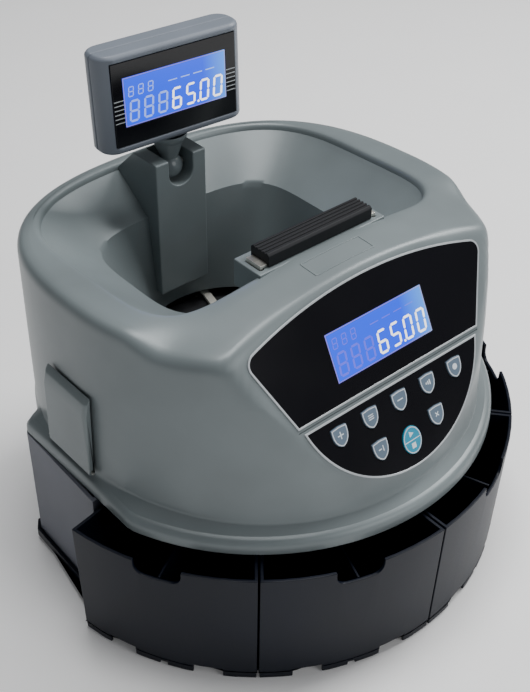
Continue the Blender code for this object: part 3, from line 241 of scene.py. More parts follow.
# %% [markdown]
# A piece whose CAD shape is already right only lacks soft edges. A copy of its mesh is merged into one
# surface, its flat triangles are dissolved into whole faces, and a small bevel rounds what is left sharp.
# Moulded plastic always shows such a line of light along its edges.

# %% Softened copies


def softened(node, paint, body, rounding=0.5 * MM, segments=2, angle=SOFT_ANGLE):
    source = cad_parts[node]
    piece = bpy.data.objects.new(node + "_body", source.data.copy())
    bpy.context.scene.collection.objects.link(piece)
    pick(piece)
    bpy.ops.object.mode_set(mode="EDIT")
    bpy.ops.mesh.select_all(action="SELECT")
    bpy.ops.mesh.remove_doubles(threshold=0.00001)
    bpy.ops.mesh.dissolve_limited(angle_limit=math.radians(1.0))
    bpy.ops.object.mode_set(mode="OBJECT")
    if rounding:
        round_edges(piece, rounding, segments, angle)
    smooth(piece, angle)
    return dress(piece, paint, body, [node])


# %% [markdown]
# ## Finishes
# Each plastic starts from one recipe: a base colour, a slow drift of shade over the moulding, and a fine
# spark-eroded grain that only changes the bump. The grain is what breaks up a highlight on real plastic.

# %% Plastic recipe


def linear(red, green, blue):
    """Colour sockets are linear, so 0 to 255 screen values are converted."""

    def channel(value):
        value /= 255
        return value / 12.92 if value <= 0.04045 else ((value + 0.055) / 1.055) ** 2.4

    return (channel(red), channel(green), channel(blue), 1.0)


def new_paint(name):
    paint = bpy.data.materials.new(name)
    paint.use_nodes = True
    nodes, links = paint.node_tree.nodes, paint.node_tree.links
    shader = nodes["Principled BSDF"]
    place = nodes.new("ShaderNodeTexCoord")
    return paint, nodes, links, shader, place


def noise_on(nodes, links, place, scale, detail, stretch=None):
    noise = nodes.new("ShaderNodeTexNoise")
    noise.inputs["Scale"].default_value = scale
    noise.inputs["Detail"].default_value = detail
    if stretch:
        mapping = nodes.new("ShaderNodeMapping")
        mapping.inputs["Scale"].default_value = stretch
        links.new(place.outputs["Object"], mapping.inputs["Vector"])
        links.new(mapping.outputs["Vector"], noise.inputs["Vector"])
    else:
        links.new(place.outputs["Object"], noise.inputs["Vector"])
    return noise


def vary(nodes, links, source, low, high, socket):
    """Runs a noise through a range into a number socket."""
    span = nodes.new("ShaderNodeMapRange")
    span.inputs["To Min"].default_value = low
    span.inputs["To Max"].default_value = high
    links.new(source.outputs["Fac"], span.inputs["Value"])
    links.new(span.outputs["Result"], socket)


def tint(nodes, links, source, dark, light, socket):
    """Mixes two shades by a noise into a colour socket."""
    ramp = nodes.new("ShaderNodeValToRGB")
    ramp.color_ramp.elements[0].position = 0.3
    ramp.color_ramp.elements[1].position = 0.7
    ramp.color_ramp.elements[0].color = dark
    ramp.color_ramp.elements[1].color = light
    links.new(source.outputs["Fac"], ramp.inputs["Fac"])
    links.new(ramp.outputs["Color"], socket)


def add_grain(nodes, links, shader, source, strength, depth):
    bump = nodes.new("ShaderNodeBump")
    bump.inputs["Strength"].default_value = strength
    bump.inputs["Distance"].default_value = depth
    links.new(source.outputs["Fac"], bump.inputs["Height"])
    links.new(bump.outputs["Normal"], shader.inputs["Normal"])


def plastic(name, colour, rough, grain=2200, strength=0.25, drift=0.05, metallic=0.0, shine=0.4):
    """A moulded plastic: colour in screen values, roughness, grain per metre and shade drift."""
    paint, nodes, links, shader, place = new_paint(name)
    slow = noise_on(nodes, links, place, 14, 3)
    dark = linear(*(value * (1 - drift) for value in colour))
    light = linear(*(min(255, value * (1 + drift)) for value in colour))
    tint(nodes, links, slow, dark, light, shader.inputs["Base Color"])
    fine = noise_on(nodes, links, place, grain, 2)
    vary(nodes, links, fine, rough - 0.05, rough + 0.06, shader.inputs["Roughness"])
    if strength:
        add_grain(nodes, links, shader, fine, strength, 0.06 * MM)
    shader.inputs["Specular IOR Level"].default_value = shine
    shader.inputs["Metallic"].default_value = metallic
    return paint


HOUSING = plastic("housing_grey_plastic", (118, 127, 129), 0.35, strength=0.4, metallic=0.1)
POLISHED = plastic("polished_grey_plastic", (112, 121, 124), 0.22, strength=0.0)
HEAD_GREY = plastic("display_grey_plastic", (112, 119, 129), 0.42)
BASE_GREY = plastic("base_grey_plastic", (96, 99, 109), 0.5)
CHARCOAL = plastic("charcoal_plastic", (9, 15, 28), 0.42, grain=1500, drift=0.1, shine=0.2)
GLOSS = plastic("panel_gloss_black", (15, 15, 19), 0.13, grain=25, strength=0.0, drift=0.12, shine=0.4)
SOCKET_BLACK = plastic("socket_black_plastic", (26, 26, 28), 0.4)
SILVER = plastic("silver_print", (188, 193, 196), 0.34, strength=0.1, metallic=0.25)
KEY_GREY = plastic("key_blue_grey", (98, 115, 132), 0.36, strength=0.1)
KEY_EDGE = plastic("key_silver_edge", (212, 219, 225), 0.34, strength=0.0)
KEY_CYAN = plastic("key_cyan", (40, 146, 178), 0.34, strength=0.1)
KEY_SIGN = plastic("key_sign_white", (222, 230, 236), 0.4, strength=0.0)
WHITE = plastic("natural_white_plastic", (216, 214, 204), 0.4)
GREEN = plastic("board_green", (26, 92, 52), 0.45, grain=700)
RUBBER = plastic("handle_rubber", (17, 19, 23), 0.58, grain=1200, strength=0.4, drift=0.12, shine=0.3)
MAT = plastic("disc_mat_rubber", (44, 45, 48), 0.75, grain=900, strength=0.5, drift=0.15)
print("plastics ready")

# %% [markdown]
# Metal is brushed: the noise is stretched along one direction, so the roughness runs in long hairlines. The
# sorting disc is turned on a lathe instead, so its hairlines are rings, from a Wave texture in rings mode
# that is centred on the drum's axis by a Mapping node.

# %% Metals


def metal(name, colour, rough, stretch):
    paint, nodes, links, shader, place = new_paint(name)
    hair = noise_on(nodes, links, place, 60, 4, stretch)
    tint(nodes, links, hair, linear(*(0.88 * value for value in colour)), linear(*colour),
         shader.inputs["Base Color"])
    vary(nodes, links, hair, rough - 0.08, rough + 0.1, shader.inputs["Roughness"])
    add_grain(nodes, links, shader, hair, 0.15, 0.05 * MM)
    shader.inputs["Metallic"].default_value = 1.0
    return paint


def turned_metal(name, colour, rough):
    paint, nodes, links, shader, place = new_paint(name)
    centre = nodes.new("ShaderNodeMapping")
    centre.inputs["Location"].default_value = (0, -DRUM_Y, 0)
    links.new(place.outputs["Object"], centre.inputs["Vector"])
    rings = nodes.new("ShaderNodeTexWave")
    rings.wave_type = "RINGS"
    rings.rings_direction = "Z"
    rings.inputs["Scale"].default_value = 420
    rings.inputs["Distortion"].default_value = 1.5
    rings.inputs["Detail"].default_value = 2
    links.new(centre.outputs["Vector"], rings.inputs["Vector"])
    vary(nodes, links, rings, rough - 0.07, rough + 0.12, shader.inputs["Roughness"])
    add_grain(nodes, links, shader, rings, 0.12, 0.05 * MM)
    shader.inputs["Base Color"].default_value = linear(*colour)
    shader.inputs["Metallic"].default_value = 1.0
    return paint


STEEL = metal("brushed_steel", (226, 224, 216), 0.36, (1, 12, 12))
ALUMINIUM = metal("sheet_aluminium", (206, 208, 210), 0.38, (12, 1, 12))
TURNED = turned_metal("turned_aluminium", (208, 210, 212), 0.3)
COPPER = metal("wound_copper", (196, 124, 84), 0.35, (1, 30, 1))
print("metals ready")

# %% [markdown]
# A backlit display glows: blue all over, a little paler towards the lamp at its right end. The digits stand
# as thin pieces of their own, lit ones nearly white and unlit ones a shade off the blue.

# %% Display light


def glowing(name, colour, far_colour, strength, reach):
    """An emitting finish that goes from one colour to another across X, in metres."""
    paint, nodes, links, shader, place = new_paint(name)
    apart = nodes.new("ShaderNodeSeparateXYZ")
    links.new(place.outputs["Object"], apart.inputs["Vector"])
    span = nodes.new("ShaderNodeMapRange")
    span.inputs["From Min"].default_value = reach[0]
    span.inputs["From Max"].default_value = reach[1]
    links.new(apart.outputs["X"], span.inputs["Value"])
    ramp = nodes.new("ShaderNodeValToRGB")
    ramp.color_ramp.elements[0].color = linear(*colour)
    ramp.color_ramp.elements[1].color = linear(*far_colour)
    links.new(span.outputs["Result"], ramp.inputs["Fac"])
    links.new(ramp.outputs["Color"], shader.inputs["Emission Color"])
    shader.inputs["Base Color"].default_value = linear(8, 16, 60)
    shader.inputs["Emission Strength"].default_value = strength
    shader.inputs["Roughness"].default_value = 0.25
    return paint


BACKLIGHT = glowing("display_backlight", (16, 74, 255), (80, 160, 255), 1.5, (0.020, 0.041))
GHOST = glowing("unlit_segments", (96, 92, 240), (110, 150, 250), 1.5, (0.020, 0.041))
PALE_GHOST = glowing("pale_segments", (140, 164, 255), (160, 196, 255), 1.5, (-0.04, 0.04))
LIT = glowing("lit_segments", (255, 255, 240), (255, 255, 250), 2.2, (-0.04, 0.04))
GLASS_EDGE = glowing("display_edge", (150, 140, 240), (190, 200, 255), 1.0, (0.020, 0.041))
print("display finishes ready")

# %% [markdown]
# ## Upper housing
# The housing is one large moulding: a drum that leans in as it rises, a flared skirt, a flat facet for the
# panel, a soft rim and the hopper. No primitive is near it, so it is lofted: each row is a closed ring
# round the drum's axis, worked out from a few curves, and the rows go up the outside, over the rim and down
# into the hopper, then back along the inside. First the curves of the outside.

# %% The drum's curves
SKIRT_BOTTOM, SKIRT_TOP = 101.6 * MM, 111.5 * MM
FOOT_Z, RIM_Z = 118 * MM, 235 * MM
WALL = 2.6 * MM


def ease(value):
    value = min(1.0, max(0.0, value))
    return value * value * (3 - 2 * value)


def blend(low, high, share):
    return low + (high - low) * share


def superellipse(angle, half_x, half_y, power):
    across = (abs(math.cos(angle)) / half_x) ** power
    along = (abs(math.sin(angle)) / half_y) ** power
    return (across + along) ** (-1 / power)


def top_height(x, y):
    """Height of the rim and the deck above a point of the plan."""
    rim = blend(227 * MM, RIM_Z, (138 * MM - y) / (188 * MM))
    crown = 245.5 * MM + 1.5 * MM * (y + 89 * MM) / (33 * MM) - 12.4 * MM * (x / (103 * MM)) ** 2
    return blend(rim, max(crown, rim - 8 * MM), ease((-38 * MM - y) / (28 * MM)))


def off_front(angle):
    """How far a direction is turned away from the front, in radians."""
    return abs(math.remainder(angle + math.pi / 2, 2 * math.pi))


def facet_distance(z):
    """How far in front of the axis the panel's plane is at a height."""
    return DRUM_Y - PANEL_CENTRE.y + (PANEL_CENTRE.z - z) / math.tan(PANEL_SLOPE)


def drum_radius(angle, z):
    share = (z - FOOT_Z) / (RIM_Z - FOOT_Z)
    half_x = blend(146 * MM, 141.5 * MM, share)
    if math.sin(angle) > 0:
        return superellipse(angle, half_x, 138 * MM, blend(2.5, 2.7, share))
    wall = superellipse(angle, half_x, blend(150 * MM, 146.5 * MM, share), 2.1)
    facet = facet_distance(z)
    if facet >= wall:
        return wall
    fillet = 15 * MM
    middle_y = facet - fillet
    middle_x = math.sqrt(max(0.0, (wall - fillet) ** 2 - middle_y**2))
    away = off_front(angle)
    if away < math.atan2(middle_x, facet):
        return facet / math.cos(away)
    if away > math.atan2(middle_x, middle_y):
        return wall
    along = middle_x * math.sin(away) + middle_y * math.cos(away)
    aside = middle_x * math.cos(away) - middle_y * math.sin(away)
    return along + math.sqrt(max(0.0, fillet**2 - aside**2))


def halved(is_low, low, high):
    """Finds by halving the height where a test changes."""
    for _ in range(30):
        z = (low + high) / 2
        if is_low(z):
            low = z
        else:
            high = z
    return low


def edge_height(angle):
    def below_rim(z):
        radius = drum_radius(angle, z)
        return z < top_height(radius * math.cos(angle), radius * math.sin(angle))

    return halved(below_rim, FOOT_Z, 260 * MM)


def facet_foot(angle):
    away = off_front(angle)
    ceiling = blend(FOOT_Z, edge_height(angle), 0.7)
    if math.sin(angle) > 0 or math.cos(away) < 0.6:
        return ceiling

    def below_facet(z):
        share = (z - FOOT_Z) / (RIM_Z - FOOT_Z)
        return facet_distance(z) / math.cos(away) > blend(150 * MM, 146.5 * MM, share)

    return min(halved(below_facet, FOOT_Z, edge_height(angle)), ceiling)


def skirt_radius(angle):
    """The skirt: a wide arc in front, flat sides, and close to the wall behind its two ears."""
    ahead = min(162 * MM, 151.5 * MM / max(1e-6, abs(math.cos(angle))))
    if math.sin(angle) <= 0:
        return ahead
    behind = superellipse(angle, 147 * MM, 139 * MM, 2.5)
    return blend(ahead, behind, ease((ahead * math.sin(angle) - 60 * MM) / (9 * MM)))


print("the deck is", round(top_height(0, 0) / MM, 1), "mm high over the drum's axis")

# %% [markdown]
# The hopper is three curves stacked: a squarish mouth, a smaller throat where the slopes end, and the round
# opening over the sorting disc. A point on the skin is then asked for by direction and by row.

# %% Rows of the skin


def mouth(angle, margin, drop):
    power = 3.0 if math.sin(angle) > 0 else 6.0
    radius = superellipse(angle, 116 * MM + margin, 91 * MM + margin, power)
    x, y = radius * math.cos(angle), 35 * MM + radius * math.sin(angle)
    return (x, y, top_height(x, y) - drop)


def throat(angle, margin=0.0, drop=0.0):
    radius = superellipse(angle, 77 * MM + margin, 59 * MM + margin, 4.0)
    return (radius * math.cos(angle), 33 * MM + radius * math.sin(angle), 200 * MM - drop)


def opening(angle, margin=0.0):
    radius = 62 * MM + margin
    return (radius * math.cos(angle), 26 * MM + radius * math.sin(angle), 124.5 * MM)


def between(first, second, share):
    return tuple(blend(a, b, share) for a, b in zip(first, second))


def skirt(angle, inset, z, toward_wall=0.0):
    radius = blend(skirt_radius(angle) - inset, drum_radius(angle, z), toward_wall)
    return (radius * math.cos(angle), radius * math.sin(angle), z)


def edge_round(angle):
    """The rim's outer round is wide round the hopper and tight along the top of the panel."""
    return blend(8 * MM, 3.5 * MM, ease((math.cos(angle + math.pi / 2) - 0.72) / 0.2))


def wall_low(angle, share, inset=0.0):
    z = blend(FOOT_Z, facet_foot(angle), share)
    radius = drum_radius(angle, z) - inset
    return (radius * math.cos(angle), radius * math.sin(angle), z)


def wall_high(angle, share, inset=0.0):
    top = edge_height(angle) - edge_round(angle)
    z = blend(facet_foot(angle), top, share)
    radius = drum_radius(angle, z) - inset
    return (radius * math.cos(angle), radius * math.sin(angle), z)


def rim(angle, share, inset=0.0):
    """A point on the rim's round edge, a curve that leaves the wall at 0 and meets the top at 1."""
    size, edge = edge_round(angle), edge_height(angle)
    low, corner = drum_radius(angle, edge - size), drum_radius(angle, edge)
    top_x, top_y = (corner - size) * math.cos(angle), (corner - size) * math.sin(angle)
    before, middle, after = (1 - share) ** 2, 2 * share * (1 - share), share**2
    radius = before * low + middle * corner + after * (corner - size) - inset
    z = before * (edge - size) + middle * edge + after * top_height(top_x, top_y) - inset
    return (radius * math.cos(angle), radius * math.sin(angle), z)


def deck(angle, share):
    """A point on the top, between the rim and the hopper's mouth."""
    x, y, _ = between(rim(angle, 1), mouth(angle, 3 * MM, 0), share)
    return (x, y, top_height(x, y))


def skin_rows():
    rows = [
        lambda a: skirt(a, WALL, SKIRT_BOTTOM),
        lambda a: skirt(a, 0.6 * MM, SKIRT_BOTTOM),
        lambda a: skirt(a, 0, SKIRT_BOTTOM + 0.6 * MM),
    ]
    shelf = [(-6.5, 0), (-4, 0.03), (-2.4, 0.09), (-1.1, 0.18), (-0.25, 0.3), (0.25, 0.44), (1, 0.64),
             (2.4, 0.84), (4.4, 0.96)]
    rows += [lambda a, z=z, s=s: skirt(a, 0, SKIRT_TOP + z * MM, s) for z, s in shelf]
    rows += [lambda a, s=i / 6: wall_low(a, s) for i in range(6)]
    rows += [lambda a, s=i / 9: wall_high(a, s) for i in range(9)]
    rows += [lambda a, s=s: rim(a, s) for s in (0.0, 0.14, 0.28, 0.42, 0.58, 0.78, 1.0)]
    rows += [lambda a, s=s / 6: deck(a, s) for s in range(1, 6)]
    rows += [lambda a, m=m, d=d: mouth(a, m * MM, d * MM)
             for m, d in ((3, 0), (1.2, 0.3), (0, 1.2), (-0.8, 2.6), (-1.2, 4.5))]
    rows += [lambda a, s=s: between(mouth(a, -1.2 * MM, 4.5 * MM), throat(a), s)
             for s in (0.2, 0.45, 0.7, 0.94, 1.0)]
    rows += [lambda a, s=s: between(throat(a), opening(a), s) for s in (0.06, 0.35, 0.7, 0.985, 1.0)]
    rows += [
        lambda a: opening(a, WALL),
        lambda a: throat(a, WALL, 1 * MM),
        lambda a: mouth(a, 3 * MM, 6.1 * MM),
        lambda a: rim(a, 1, WALL),
        lambda a: wall_high(a, 0.97, WALL),
        lambda a: wall_high(a, 0, WALL),
        lambda a: wall_low(a, 0, WALL),
        lambda a: skirt(a, WALL, SKIRT_TOP - 1.5 * MM),
    ]
    return rows


print("the skin has", len(skin_rows()), "rows")


# %% [markdown]
# The columns stand about two degrees apart, with extra ones at the skirt's two ears so that their corners
# stay crisp. The last row joins the first, which closes the wall.

# %% Loft the housing


def directions():
    ear = math.degrees(math.atan2(60, 151.5))
    sharp = [ear - 1.0, ear, ear + 1.6, ear + 3.4]
    sharp += [180 - angle for angle in sharp]
    even = [-90 + 360 * i / 190 for i in range(190)]
    kept = [angle for angle in even if all(abs(angle - other) > 0.7 for other in sharp)]
    return [math.radians(angle) for angle in sorted(kept + sharp)]


def lofted(name, rings):
    """A skin through closed rings of equally many points, whose last ring joins the first."""
    count = len(rings[0])
    points = [point for ring in rings for point in ring]
    faces = []
    for row in range(len(rings)):
        here, above = row * count, (row + 1) % len(rings) * count
        for i in range(count):
            j = (i + 1) % count
            faces.append((here + i, here + j, above + j, above + i))
    mesh = bpy.data.meshes.new(name)
    mesh.from_pydata(points, [], faces)
    piece = bpy.data.objects.new(name, mesh)
    bpy.context.scene.collection.objects.link(piece)
    return piece


angles = directions()
housing = lofted("housing_shell", [[row(angle) for angle in angles] for row in skin_rows()])
housing.data.transform(Matrix.Translation((0, DRUM_Y, 0)))
pick(housing)
bpy.ops.object.mode_set(mode="EDIT")
bpy.ops.mesh.select_all(action="SELECT")
bpy.ops.mesh.normals_make_consistent(inside=False)
bpy.ops.object.mode_set(mode="OBJECT")
print("housing:", len(housing.data.polygons), "faces")

# %% [markdown]
# Behind the panel the wall is open for the display and for the keys, which travel inwards. Two slabs cut
# these openings: Boolean modifiers do it cleanly because the facet is flat there.

# %% Open the facet


def shield(centre, size):
    """A shield-shaped key: a flat top whose sides curve down to a point."""
    half = size / 2
    right = [(0, -1.12), (0.3, -1.0), (0.6, -0.78), (0.85, -0.42), (0.97, 0), (1, 0.45), (0.98, 0.9), (0, 1)]
    return [(centre[0] + half * u, centre[1] + half * v) for u, v in mirrored(right)]


def upper_outline():
    corner = arc(7 * MM, -23, 72.7, 8, (87.09 * MM, 18.26 * MM))
    top = arc(300 * MM, 73.5, 90, 14, (0, -261.5 * MM))
    return mirrored([(75.5 * MM, -27 * MM)] + corner + top)


def lower_outline():
    return mirrored(arc(75 * MM, -90, -16, 28, (0, -11.5 * MM)))


LCD = (39.45 * MM, 14.95 * MM)


def cut_with(target, tool):
    step = target.modifiers.new("Opening", "BOOLEAN")
    step.operation = "DIFFERENCE"
    step.solver = "MANIFOLD"
    step.object = tool
    apply_all(target)
    bpy.data.objects.remove(tool, do_unlink=True)


window = [(LCD[0], -LCD[1]), (LCD[0], LCD[1]), (-LCD[0], LCD[1]), (-LCD[0], -LCD[1])]
cut_with(housing, slab("window_tool", offset(window, 0.5 * MM), -8 * MM, 6 * MM, PANEL))
cut_with(housing, slab("keypad_tool", offset(lower_outline(), -4 * MM), -8 * MM, 6 * MM, PANEL))
cut_with(housing, slab("groove_tool", bar((0, -29.7 * MM), 76 * MM, 0.35 * MM), -0.8 * MM, 3 * MM, PANEL))
smooth(housing, 38)
dress(housing, HOUSING, "cover", ["upper_housing"])

# %% [markdown]
# The display's post stands on the hopper's back wall. It is a slab cut to the post's side outline, whose
# lower edge lies back along the slope, and a U-shaped slot is cut for the ball of the display's foot.

# %% Display post
PIVOT = Vector((0, DRUM_Y + 93.5 * MM, 233.5 * MM))


def make_post():
    side_view = [(80, 141), (96, 141), (104, 200), (126, 225), (106, 244.4), (80.6, 244.4), (80, 243.8)]
    outline = [(y * MM, z * MM) for y, z in side_view]
    plane = Matrix.Translation((0, DRUM_Y, 0)) @ SIDEWAYS
    post = slab("hopper_post", outline, -20.9 * MM, 20.9 * MM, plane)
    slot = arc(10 * MM, 180, 360, 24) + [(10 * MM, 36 * MM), (-10 * MM, 36 * MM)]
    cut_with(post, slab("slot_tool", slot, -12.5 * MM, 33.5 * MM, Matrix.Translation(PIVOT) @ FACING))
    round_edges(post, 0.9 * MM, 3)
    smooth(post)
    return dress(post, HOUSING, "cover")


make_post()

# %% [markdown]
# The handle's ledge is a block across the front of the hopper's mouth. Its steel strap drops into two slots
# when the handle is down, so the block only needs crisp, slightly rounded corners.

# %% Handle ledge


def make_ledge():
    bpy.ops.object.select_all(action="DESELECT")
    bpy.ops.mesh.primitive_cube_add(size=1, location=(0, DRUM_Y - 47.9 * MM, 235.2 * MM))
    ledge = bpy.context.object
    ledge.name = "handle_ledge"
    ledge.scale = (102 * MM, 23.8 * MM, 18.5 * MM)
    bpy.ops.object.transform_apply(location=True, rotation=True, scale=True)
    for side in (-1, 1):
        pocket = rounded(1.4 * MM, 7 * MM, 0.8 * MM, (side * 46 * MM, DRUM_Y - 49 * MM))
        cut_with(ledge, slab("pocket_tool", pocket, 229 * MM, 250 * MM, Matrix.Identity(4)))
    round_edges(ledge, 0.8 * MM, 3)
    smooth(ledge)
    return dress(ledge, HOUSING, "cover")


make_ledge()

# %% [markdown]
# On the deck a shallow raised frame is moulded between the handle and the panel. It is a plain one here. It
# follows the crown of the deck, so its points take their height from the same curve as the deck.

# %% Deck frame


def make_deck_frame():
    corners = rounded(24 * MM, 7.5 * MM, 1.5 * MM, (-3 * MM, -74 * MM))
    outer = []
    for i, (x, y) in enumerate(corners):
        next_x, next_y = corners[(i + 1) % len(corners)]
        steps = max(1, round(math.hypot(next_x - x, next_y - y) / (2.5 * MM)))
        outer += [(blend(x, next_x, k / steps), blend(y, next_y, k / steps)) for k in range(steps)]
    inner = offset(outer, -1.3 * MM)
    frame_piece = strip("deck_frame", outer, inner, -1.2 * MM, 0.35 * MM, Matrix.Identity(4))
    for vertex in frame_piece.data.vertices:
        vertex.co.z += top_height(vertex.co.x, vertex.co.y)
        vertex.co.y += DRUM_Y
    round_edges(frame_piece, 0.25 * MM, 2, 50)
    smooth(frame_piece)
    return dress(frame_piece, HOUSING, "cover")


make_deck_frame()

# %% [markdown]
# Two hinge barrels hang on the cover's back edge and two on the base. The same short profile makes the
# cover's two: a cylinder whose ends are bevelled, with a web that reaches into the wall.

# %% Cover hinge barrels
HINGE = Vector((0, DRUM_Y + 140.6 * MM, 101.5 * MM))


def make_barrel(name, low_x, high_x, web_low, web_high):
    length = high_x - low_x
    bpy.ops.object.select_all(action="DESELECT")
    bpy.ops.mesh.primitive_cylinder_add(
        vertices=32,
        radius=3.2 * MM,
        depth=length,
        location=((low_x + high_x) / 2, HINGE.y, HINGE.z),
        rotation=(0, math.pi / 2, 0),
    )
    barrel = bpy.context.object
    bpy.ops.object.transform_apply(location=True, rotation=True, scale=True)
    web = [(134.8 * MM, web_low), (140 * MM, web_low), (140 * MM, web_high), (134.8 * MM, web_high)]
    plane = Matrix.Translation((0, DRUM_Y, 0)) @ SIDEWAYS
    web_piece = slab("web", web, low_x + 0.4 * MM, high_x - 0.4 * MM, plane)
    barrel = joined(name, [barrel, web_piece])
    round_edges(barrel, 0.4 * MM, 2, 50)
    smooth(barrel)
    return barrel


for word, low_x in (("left", -46), ("right", 34.4)):
    barrel = make_barrel("cover_hinge_" + word, low_x * MM, (low_x + 11.6) * MM, 102.6 * MM, 106.8 * MM)
    dress(barrel, HOUSING, "cover")

# %% [markdown]
# ## Instrument panel
# Two sheets of glossy black plastic lie on the facet. Each is a slab with the outline of the real sheet: an
# arched top with round corners for the upper one, and a wide bowl for the keypad. The window and the key
# holes are cut out, and a silver line is printed round each edge, made as a thin raised strip.

# %% Overlay sheets
OVERLAY_LOW, OVERLAY_TOP = -0.5 * MM, 0.6 * MM

KEYS = {
    "key_plus": (-49.8, -43.4),
    "key_batch": (-25.2, -43.4),
    "key_minus": (-0.6, -43.4),
    "key_report": (23.9, -43.4),
    "key_set": (48.3, -43.4),
    "key_add": (-24.6, -64.7),
    "key_clear": (24.0, -64.7),
}
START_KEY = (0, -70.3 * MM)


def oval(centre, half_u, half_v, steps=48):
    turns = [2 * math.pi * i / steps for i in range(steps)]
    return [(centre[0] + half_u * math.cos(t), centre[1] + half_v * math.sin(t)) for t in turns]


def key_outlines(size=12.5 * MM):
    outlines = {name: shield((u * MM, v * MM), size) for name, (u, v) in KEYS.items()}
    outlines["key_start_stop"] = oval(START_KEY, 7.6 * MM, 9 * MM)
    return outlines


def make_overlay(name, outline, holes, node):
    sheet = slab(name, outline, OVERLAY_LOW, OVERLAY_TOP, PANEL)
    for hole in holes:
        cut_with(sheet, slab("hole_tool", hole, -5 * MM, 5 * MM, PANEL))
    round_edges(sheet, 0.2 * MM, 2, 40)
    smooth(sheet)
    dress(sheet, GLOSS, "cover", [node])
    line = strip(name + "_line", offset(outline, 0.6 * MM), offset(outline, -0.55 * MM),
                 -0.4 * MM, OVERLAY_TOP + 0.12 * MM, PANEL)
    round_edges(line, 0.1 * MM, 1, 40)
    smooth(line)
    dress(line, SILVER, "cover")


make_overlay("upper_sheet", upper_outline(), [offset(window, 0.2 * MM)], "display_overlay")
key_holes = [offset(outline, 0.35 * MM) for outline in key_outlines().values()]
make_overlay("keypad_sheet", lower_outline(), key_holes, "keypad_overlay")
print("overlay sheets and", len(key_holes), "key holes")

# %% [markdown]
# A key is a rubber-like cap with a soft top. Its slab is bevelled well at the upper edge, a paler line runs
# round it, and a small sign lies on top. The signs are plain marks: a plus, a minus, and bars or squares.

# %% Keys
KEY_TOP = 1.3 * MM


def key_signs(name, centre):
    """Outlines of the small marks on a key."""
    u, v = centre[0], centre[1] + 0.4 * MM
    long, thin = 2.3 * MM, 0.33 * MM
    signs = {
        "key_plus": [bar((u, v), long, thin), bar((u, v), thin, long)],
        "key_minus": [bar((u, v), long, thin)],
        "key_batch": [bar((u, v + k * 1.3 * MM), long * 0.9, thin * 0.8) for k in (-1, 0, 1)],
        "key_report": [bar((u + k * 1.5 * MM, v), thin * 1.4, long * (0.5 + 0.2 * k)) for k in (-1, 0, 1)],
        "key_set": [offset(oval((u, v), 2 * MM, 2 * MM, 20), 0)],
        "key_add": [bar((u - 1 * MM, v), long * 0.55, thin), bar((u + 1.6 * MM, v), thin, long * 0.8)],
        "key_clear": [bar((u, v), long * 0.8, thin, 45), bar((u, v), long * 0.8, thin, -45)],
        "key_start_stop": [
            [(u - 1.5 * MM, v + 1.7 * MM), (u + 2.1 * MM, v + 3.6 * MM), (u - 1.5 * MM, v + 5.5 * MM)],
            bar((u, v - 4.0 * MM), 1.7 * MM, 1.7 * MM),
            bar((u, v - 0.4 * MM), 6.6 * MM, 0.28 * MM),
        ],
    }
    return signs[name]


def make_key(name, outline):
    body = "button_" + name.removeprefix("key_")
    centre = START_KEY if name == "key_start_stop" else tuple(value * MM for value in KEYS[name])
    cap = slab(name + "_cap", offset(outline, -0.1 * MM), -9 * MM, KEY_TOP, PANEL)
    round_edges(cap, 0.45 * MM, 3, 50)
    smooth(cap, 40)
    big = name == "key_start_stop"
    dress(cap, KEY_CYAN if big else KEY_GREY, body, [name])
    inner = offset(outline, -0.55 * MM)
    sunk = KEY_TOP - 0.1 * MM
    line = strip(name + "_line", inner, offset(inner, -0.6 * MM), sunk, KEY_TOP + 0.06 * MM, PANEL)
    dress(line, KEY_EDGE, body)
    signs = key_signs(name, centre)
    marks = [slab("mark", sign, sunk, KEY_TOP + 0.05 * MM, PANEL) for sign in signs]
    dress(joined(name + "_sign", marks), KEY_SIGN, body)


for name, outline in key_outlines().items():
    make_key(name, outline)
print(len(KEYS) + 1, "keys")

# %% [markdown]
# ## Displays
# Both displays are the same kind: a blue backlit glass with seven-segment digits. A segment is a slim
# hexagon, so a digit is up to seven of them, leaned over a little. A row is placed digit by digit.

# %% Seven-segment digits
SEGMENTS = {"0": "abcdef", "5": "acdfg", "6": "acdefg", "8": "abcdefg"}
DIGIT_LEAN = 0.09


def segment(start, end, half):
    start, end = Vector(start), Vector(end)
    along = (end - start).normalized()
    aside = Vector((-along.y, along.x)) * half
    start += along * half * 0.25
    end -= along * half * 0.25
    tip = along * half
    points = [start, start + tip - aside, end - tip - aside, end, end - tip + aside, start + tip + aside]
    return [tuple(point) for point in points]


def digit(text, low_u, low_v, width, height, half):
    """Segment outlines of one digit whose lower left corner is given."""
    ends = {
        "a": ((0, 1), (1, 1)),
        "b": ((1, 0.5), (1, 1)),
        "c": ((1, 0), (1, 0.5)),
        "d": ((0, 0), (1, 0)),
        "e": ((0, 0), (0, 0.5)),
        "f": ((0, 0.5), (0, 1)),
        "g": ((0, 0.5), (1, 0.5)),
    }
    outlines = []
    for letter in SEGMENTS[text]:
        corners = []
        for x, y in ends[letter]:
            corners.append((low_u + x * width + y * height * DIGIT_LEAN, low_v + y * height))
        outlines.append(segment(*corners, half))
    return outlines


def make_digits(name, outlines, surface, plane, paint, body):
    low, high = surface - 0.05 * MM, surface + 0.06 * MM
    marks = [slab("segment", outline, low, high, plane) for outline in outlines]
    dress(joined(name, marks), paint, body)


